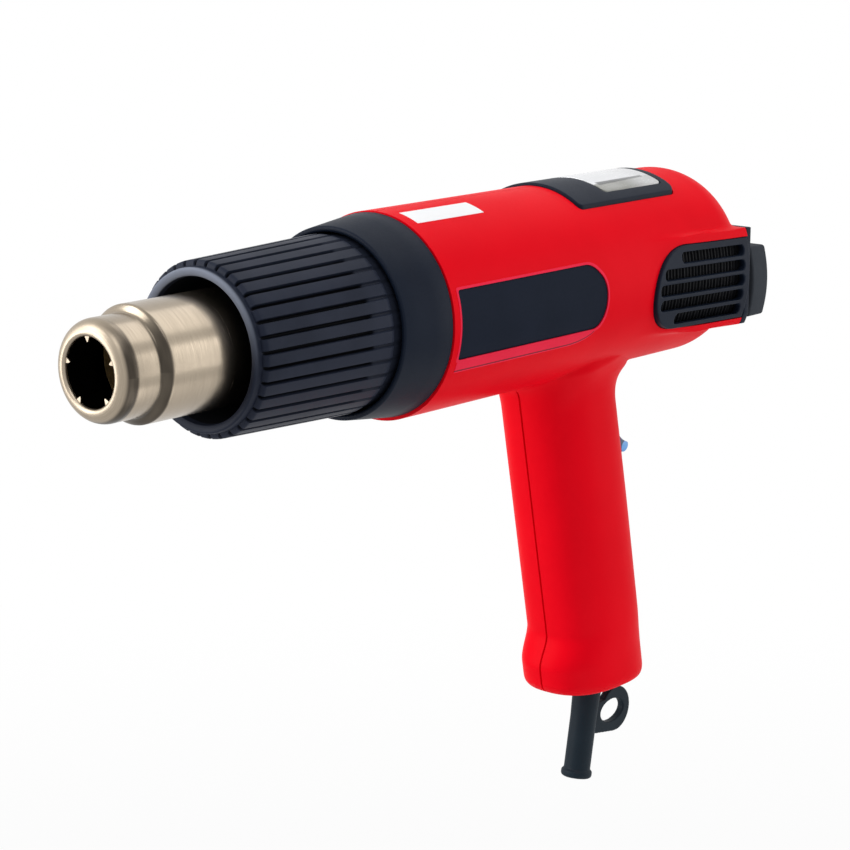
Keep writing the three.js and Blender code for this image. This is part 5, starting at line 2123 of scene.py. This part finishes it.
@dataclass
class Heater:
    """The heater inside the nozzle."""

    tube_r: float
    front: float = -109.6
    start: float = 8.0
    end: float = -8.0
    loops: int = 9
    loop_steps: int = 40
    wire: float = 0.9
    wire_sides: int = 10
    wire_clear: float = 0.2
    core_share: float = 0.65
    gap: float = 0.3

    def coil(self) -> Solid:
        """The heating wire as one round coil.

        Returns:
            The coil.
        """
        radius = self.tube_r * self.core_share + self.gap + self.wire + self.wire_clear
        t = np.linspace(0.0, 1.0, self.loops * self.loop_steps + 1)
        turn = 2 * math.pi * self.loops * t
        first = self.front + self.start
        line = np.stack([first + (self.end - first) * t, radius * np.cos(turn), radius * np.sin(turn)], axis=1)
        ahead = np.gradient(line, axis=0)
        ahead /= np.linalg.norm(ahead, axis=1, keepdims=True)
        out = np.stack([np.zeros_like(turn), np.cos(turn), np.sin(turn)], axis=1)
        across = np.cross(ahead, out)
        angle = np.linspace(0.0, 2 * math.pi, self.wire_sides, endpoint=False)[None, :, None]
        rings = line[:, None, :] + self.wire * (np.cos(angle) * out[:, None, :] + np.sin(angle) * across[:, None, :])
        return loft(rings)

    def build(self, bench: Bench) -> None:
        """Add the wire and dress the rest of the heater.

        Args:
            bench: Where pieces are placed.
        """
        bench.put("heating_wire", self.coil(), "heater_wire", ["heater_coil"])
        bench.dress("mica_sleeve", "mica")
        bench.dress("heater_core", "heater_ceramic")
        bench.dress("heater_flange", "mica")


@dataclass
class Relief:
    """The strain relief with its hanging loop."""

    handle: Handle
    length: float = 49.1
    inside: float = 7.0
    lean: float = math.radians(-10.6)
    top_r: float = 5.9
    end_r: float = 5.3
    bead_r: float = 6.2
    bead_long: float = 3.2
    cord_r: float = 4.0
    loop_r: float = 9.3
    hole_long: float = 7.6
    hole_high: float = 4.7
    hole_fore: float = 2.4
    loop_thick: float = 3.2
    loop_back: float = 19.8
    loop_down: float = 18.8
    gap: float = 0.3

    @property
    def spindle(self) -> Spindle:
        """Axis of the sleeve, starting inside the handle.

        Returns:
            The axis.
        """
        foot = self.handle.foot
        start_x = foot[0] - self.inside * math.sin(self.lean)
        start_z = foot[2] + self.inside * math.cos(self.lean)
        return Spindle(start_x, start_z, math.pi / 2 - self.lean)

    def room(self) -> Solid:
        """Hole in the foot of the handle."""
        rings = [(-4.0, self.top_r + self.gap), (self.length, self.top_r + self.gap)]
        return self.spindle.turned(rings, 48, hollow=False)

    def solid(self) -> Solid:
        """Sleeve and loop in one piece.

        Returns:
            The strain relief.
        """
        end, full = self.length, self.bead_r
        bead = end - self.bead_long
        profile = [(0.0, self.top_r), (self.inside, self.top_r), (end * 0.5, self.end_r), (bead - 0.1, self.end_r)]
        profile += [(bead + 0.1, full - 0.5), (bead + 0.5, full - 0.1), (bead + 0.9, full), (end - 1.1, full),
                    (end - 0.4, full - 0.3), (end, full - 0.9)]
        sleeve = self.spindle.turned(profile, 64, hollow=False)
        foot = self.handle.foot
        near = foot[0] + math.tan(self.lean) * self.loop_down
        x, z = near + self.loop_back, foot[2] - self.loop_down
        half, size = self.loop_thick / 2, self.loop_r
        ring = raised(arc((x, z), (size, size), 0, 354, 59), Facing.Y, -half, half)
        high = z + size * 0.6
        web = [(near, z - size * 0.65), (x - size * 0.16, z - size * 0.987), (x, high), (near, high)]
        hole = raised(arc((x - self.hole_fore, z), (self.hole_long, self.hole_high), 0, 354, 59), Facing.Y, -9.0, 9.0)
        bore = self.spindle.turned([(-5.0, self.cord_r), (end + 5.0, self.cord_r)], 40, hollow=False)
        return (((sleeve + ring) + raised(web, Facing.Y, -half, half)) - hole) - bore

    def build(self, bench: Bench) -> None:
        """Add the strain relief."""
        bench.put("relief_sleeve", self.solid().moulded(0.34, 2), "relief_rubber", ["strain_relief"],
                  crease=80.0)


@dataclass
class Label:
    """The bare white label on the upper left of the barrel."""

    radius: float
    x0: float = 5.2
    x1: float = 40.6
    from_angle: float = 65.0
    to_angle: float = 79.0
    film: float = 0.14
    sunk: float = 0.3

    def build(self, bench: Bench) -> None:
        """Add the label.

        Args:
            bench: Where pieces are placed.
        """
        x = np.linspace(self.x0, self.x1, 8)
        angle = np.radians(np.linspace(180 - self.from_angle, 180 - self.to_angle, 16))
        grids = []
        for radius in (self.radius + self.film, self.radius - self.sunk):
            parts = np.broadcast_arrays(x[:, None], radius * np.cos(angle), radius * np.sin(angle))
            grids.append(np.stack(parts, axis=-1))
        bench.put("label_blank", sheet(*grids), "label_white")


class InnerParts:
    """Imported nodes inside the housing, which keep their shape."""

    finishes: dict[str, str] = {
        "power_board": "circuit_board",
        "terminal_block": "terminal_plastic",
        "cord_clamp": "switch_black",
        "motor_can": "motor_steel",
        "motor_mount": "fan_plastic",
        "motor_shaft": "motor_steel",
        "armature": "armature_copper",
        "blower_fan": "fan_plastic",
    }

    def build(self, bench: Bench) -> None:
        """Dress the inner pieces."""
        for node, finish in self.finishes.items():
            bench.dress(node, finish)


@dataclass(frozen=True)
class Lamp:
    """A soft lamp that points at the middle of the tool."""

    name: str
    place: tuple[float, float, float]  # metres from that middle
    size: Point2
    power: float

    def hang(self, aim: Vector) -> None:
        """Add the lamp.

        Args:
            aim: Where it points.
        """
        data = bpy.data.lights.new(self.name, "AREA")
        data.shape = "RECTANGLE"
        data.size, data.size_y = self.size
        data.energy = self.power
        item = bpy.data.objects.new(self.name, data)
        place = aim + Vector(self.place)
        item.location = place
        item.rotation_mode = "QUATERNION"
        item.rotation_quaternion = (aim - place).to_track_quat("-Z", "Y")
        bpy.context.scene.collection.objects.link(item)


@dataclass
class Studio:
    """Floor, light and camera."""

    eye: tuple[float, float, float] = (-635.4, -572.94, 155.97)
    back: tuple[float, float, float] = (-0.7373, -0.638, 0.2224)
    focal_px: float = 2500.0
    image_px: float = 850.0
    sensor: float = 36.0
    floor_drop: float = 0.62
    floor_reach: float = 4.0
    floor_tones: tuple[Colour, Colour] = ((0.84, 0.84, 0.84), (0.88, 0.88, 0.88))
    white_near: float = 0.86  # share of white below the tool, and what is added far away
    white_far: float = 0.14
    far_from: float = 500.0
    far_to: float = 2400.0
    sky: float = 0.45
    lamps: tuple[Lamp, ...] = (
        Lamp("front", (-0.92, 0.75, 0.42), (0.8, 1.5), 16.0),
        Lamp("key", (-0.32, -0.5, 1.05), (0.8, 0.6), 4.4),
        Lamp("rear", (0.95, -0.75, 0.2), (0.6, 0.9), 3.0),
        Lamp("low", (0.15, -0.55, -0.6), (0.7, 0.5), 1.3),
        Lamp("top", (0.6, -0.05, 0.95), (0.9, 0.7), 2.1),
    )

    def camera(self, layout: Layout) -> None:
        """Set up the camera.

        Args:
            layout: Turns its place into the frame's metres.
        """
        data = bpy.data.cameras.new("view")
        data.sensor_width = self.sensor
        data.lens = self.focal_px * self.sensor / self.image_px
        data.clip_start, data.clip_end = 0.01, 50.0
        item = bpy.data.objects.new("view", data)
        item.location = Vector(layout.to_scene(np.array(self.eye)))
        item.rotation_mode = "QUATERNION"
        item.rotation_quaternion = (-Vector(self.back)).to_track_quat("-Z", "Y")
        bpy.context.scene.collection.objects.link(item)
        bpy.context.scene.camera = item

    def world(self) -> None:
        """White surroundings for the camera, softer as light."""
        world = bpy.data.worlds.new("studio")
        paint = Paint(world)
        white = (1.0, 1.0, 1.0, 1.0)
        soft = paint.node("ShaderNodeBackground", sockets={"Color": white, "Strength": self.sky})
        clear = paint.node("ShaderNodeBackground", sockets={"Color": white, "Strength": 1.0})
        both = paint.node("ShaderNodeMixShader", sockets={0: paint.seen(), 1: soft, 2: clear})
        paint.node("ShaderNodeOutputWorld", sockets={"Surface": both})
        bpy.context.scene.world = world

    def floor(self) -> None:
        """Add the pale floor far below the held tool, white to the eye but for its shadow and clear from below."""
        low = CAD_BOX[0].z - self.floor_drop
        middle = (CAD_BOX[0] + CAD_BOX[1]) / 2
        mesh = bpy.data.meshes.new("floor")
        reach = self.floor_reach
        corners = [(middle.x + a * reach, middle.y + b * reach, low) for a, b in ((-1, -1), (1, -1), (1, 1), (-1, 1))]
        mesh.from_pydata(corners, [], [(0, 1, 2, 3)])
        paint = Paint.surface("floor_pale")
        place = paint.place()
        x, y, _ = paint.split(place)
        away = ((x - middle.x / MM) ** 2.0 + (y - middle.y / MM) ** 2.0) ** 0.5
        colour = paint.mix(paint.noise(place, 0.004, 2.0), *self.floor_tones)
        matt = paint.node("ShaderNodeBsdfDiffuse", sockets={"Color": colour})
        glow = paint.node("ShaderNodeEmission", sockets={"Color": (1.0, 1.0, 1.0, 1.0), "Strength": 1.0})
        share = paint.seen() * (self.white_near + away.ease(self.far_from, self.far_to) * self.white_far)
        both = paint.node("ShaderNodeMixShader", sockets={0: share, 1: matt, 2: glow})
        under = paint.node("ShaderNodeNewGeometry", out="Backfacing")
        clear = paint.node("ShaderNodeBsdfTransparent")
        whole = paint.node("ShaderNodeMixShader", sockets={0: under, 1: both, 2: clear})
        paint.node("ShaderNodeOutputMaterial", sockets={"Surface": whole})
        mesh.materials.append(paint.owner)
        item = bpy.data.objects.new("floor", mesh)
        bpy.context.scene.collection.objects.link(item)

    def build(self, layout: Layout) -> None:
        """Set up the whole studio.

        Args:
            layout: Where the tool lies.
        """
        bpy.context.scene.view_settings.view_transform = "Standard"
        self.camera(layout)
        self.world()
        self.floor()
        for lamp in self.lamps:
            lamp.hang((CAD_BOX[0] + CAD_BOX[1]) / 2)


def main() -> None:
    """Build the tool and its studio."""
    logging.basicConfig(level=logging.INFO, format="%(name)s %(message)s")
    skin = Skin()
    front = FrontEnd(skin.radius)
    layout = Layout.from_frame(front.collar_len)
    display = Display(skin.radius)
    handle = Handle()
    rocker = Rocker(handle)
    bench = Bench(layout, Palette(layout, front, display, rocker))
    Studio().build(layout)
    barrel = Barrel(handle, rocker, Inlay(skin), display, Intake(skin), skin)
    relief = Relief(handle)
    barrel.build(bench, relief.room())
    front.build(bench)
    for part in (barrel.inlay, barrel.display, barrel.intake, barrel.rocker, relief, Label(skin.radius),
                 Heater(front.tube_r), InnerParts()):
        part.build(bench)
    LOG.info("%d pieces placed", bench.count)


if __name__ == "__main__":
    main()
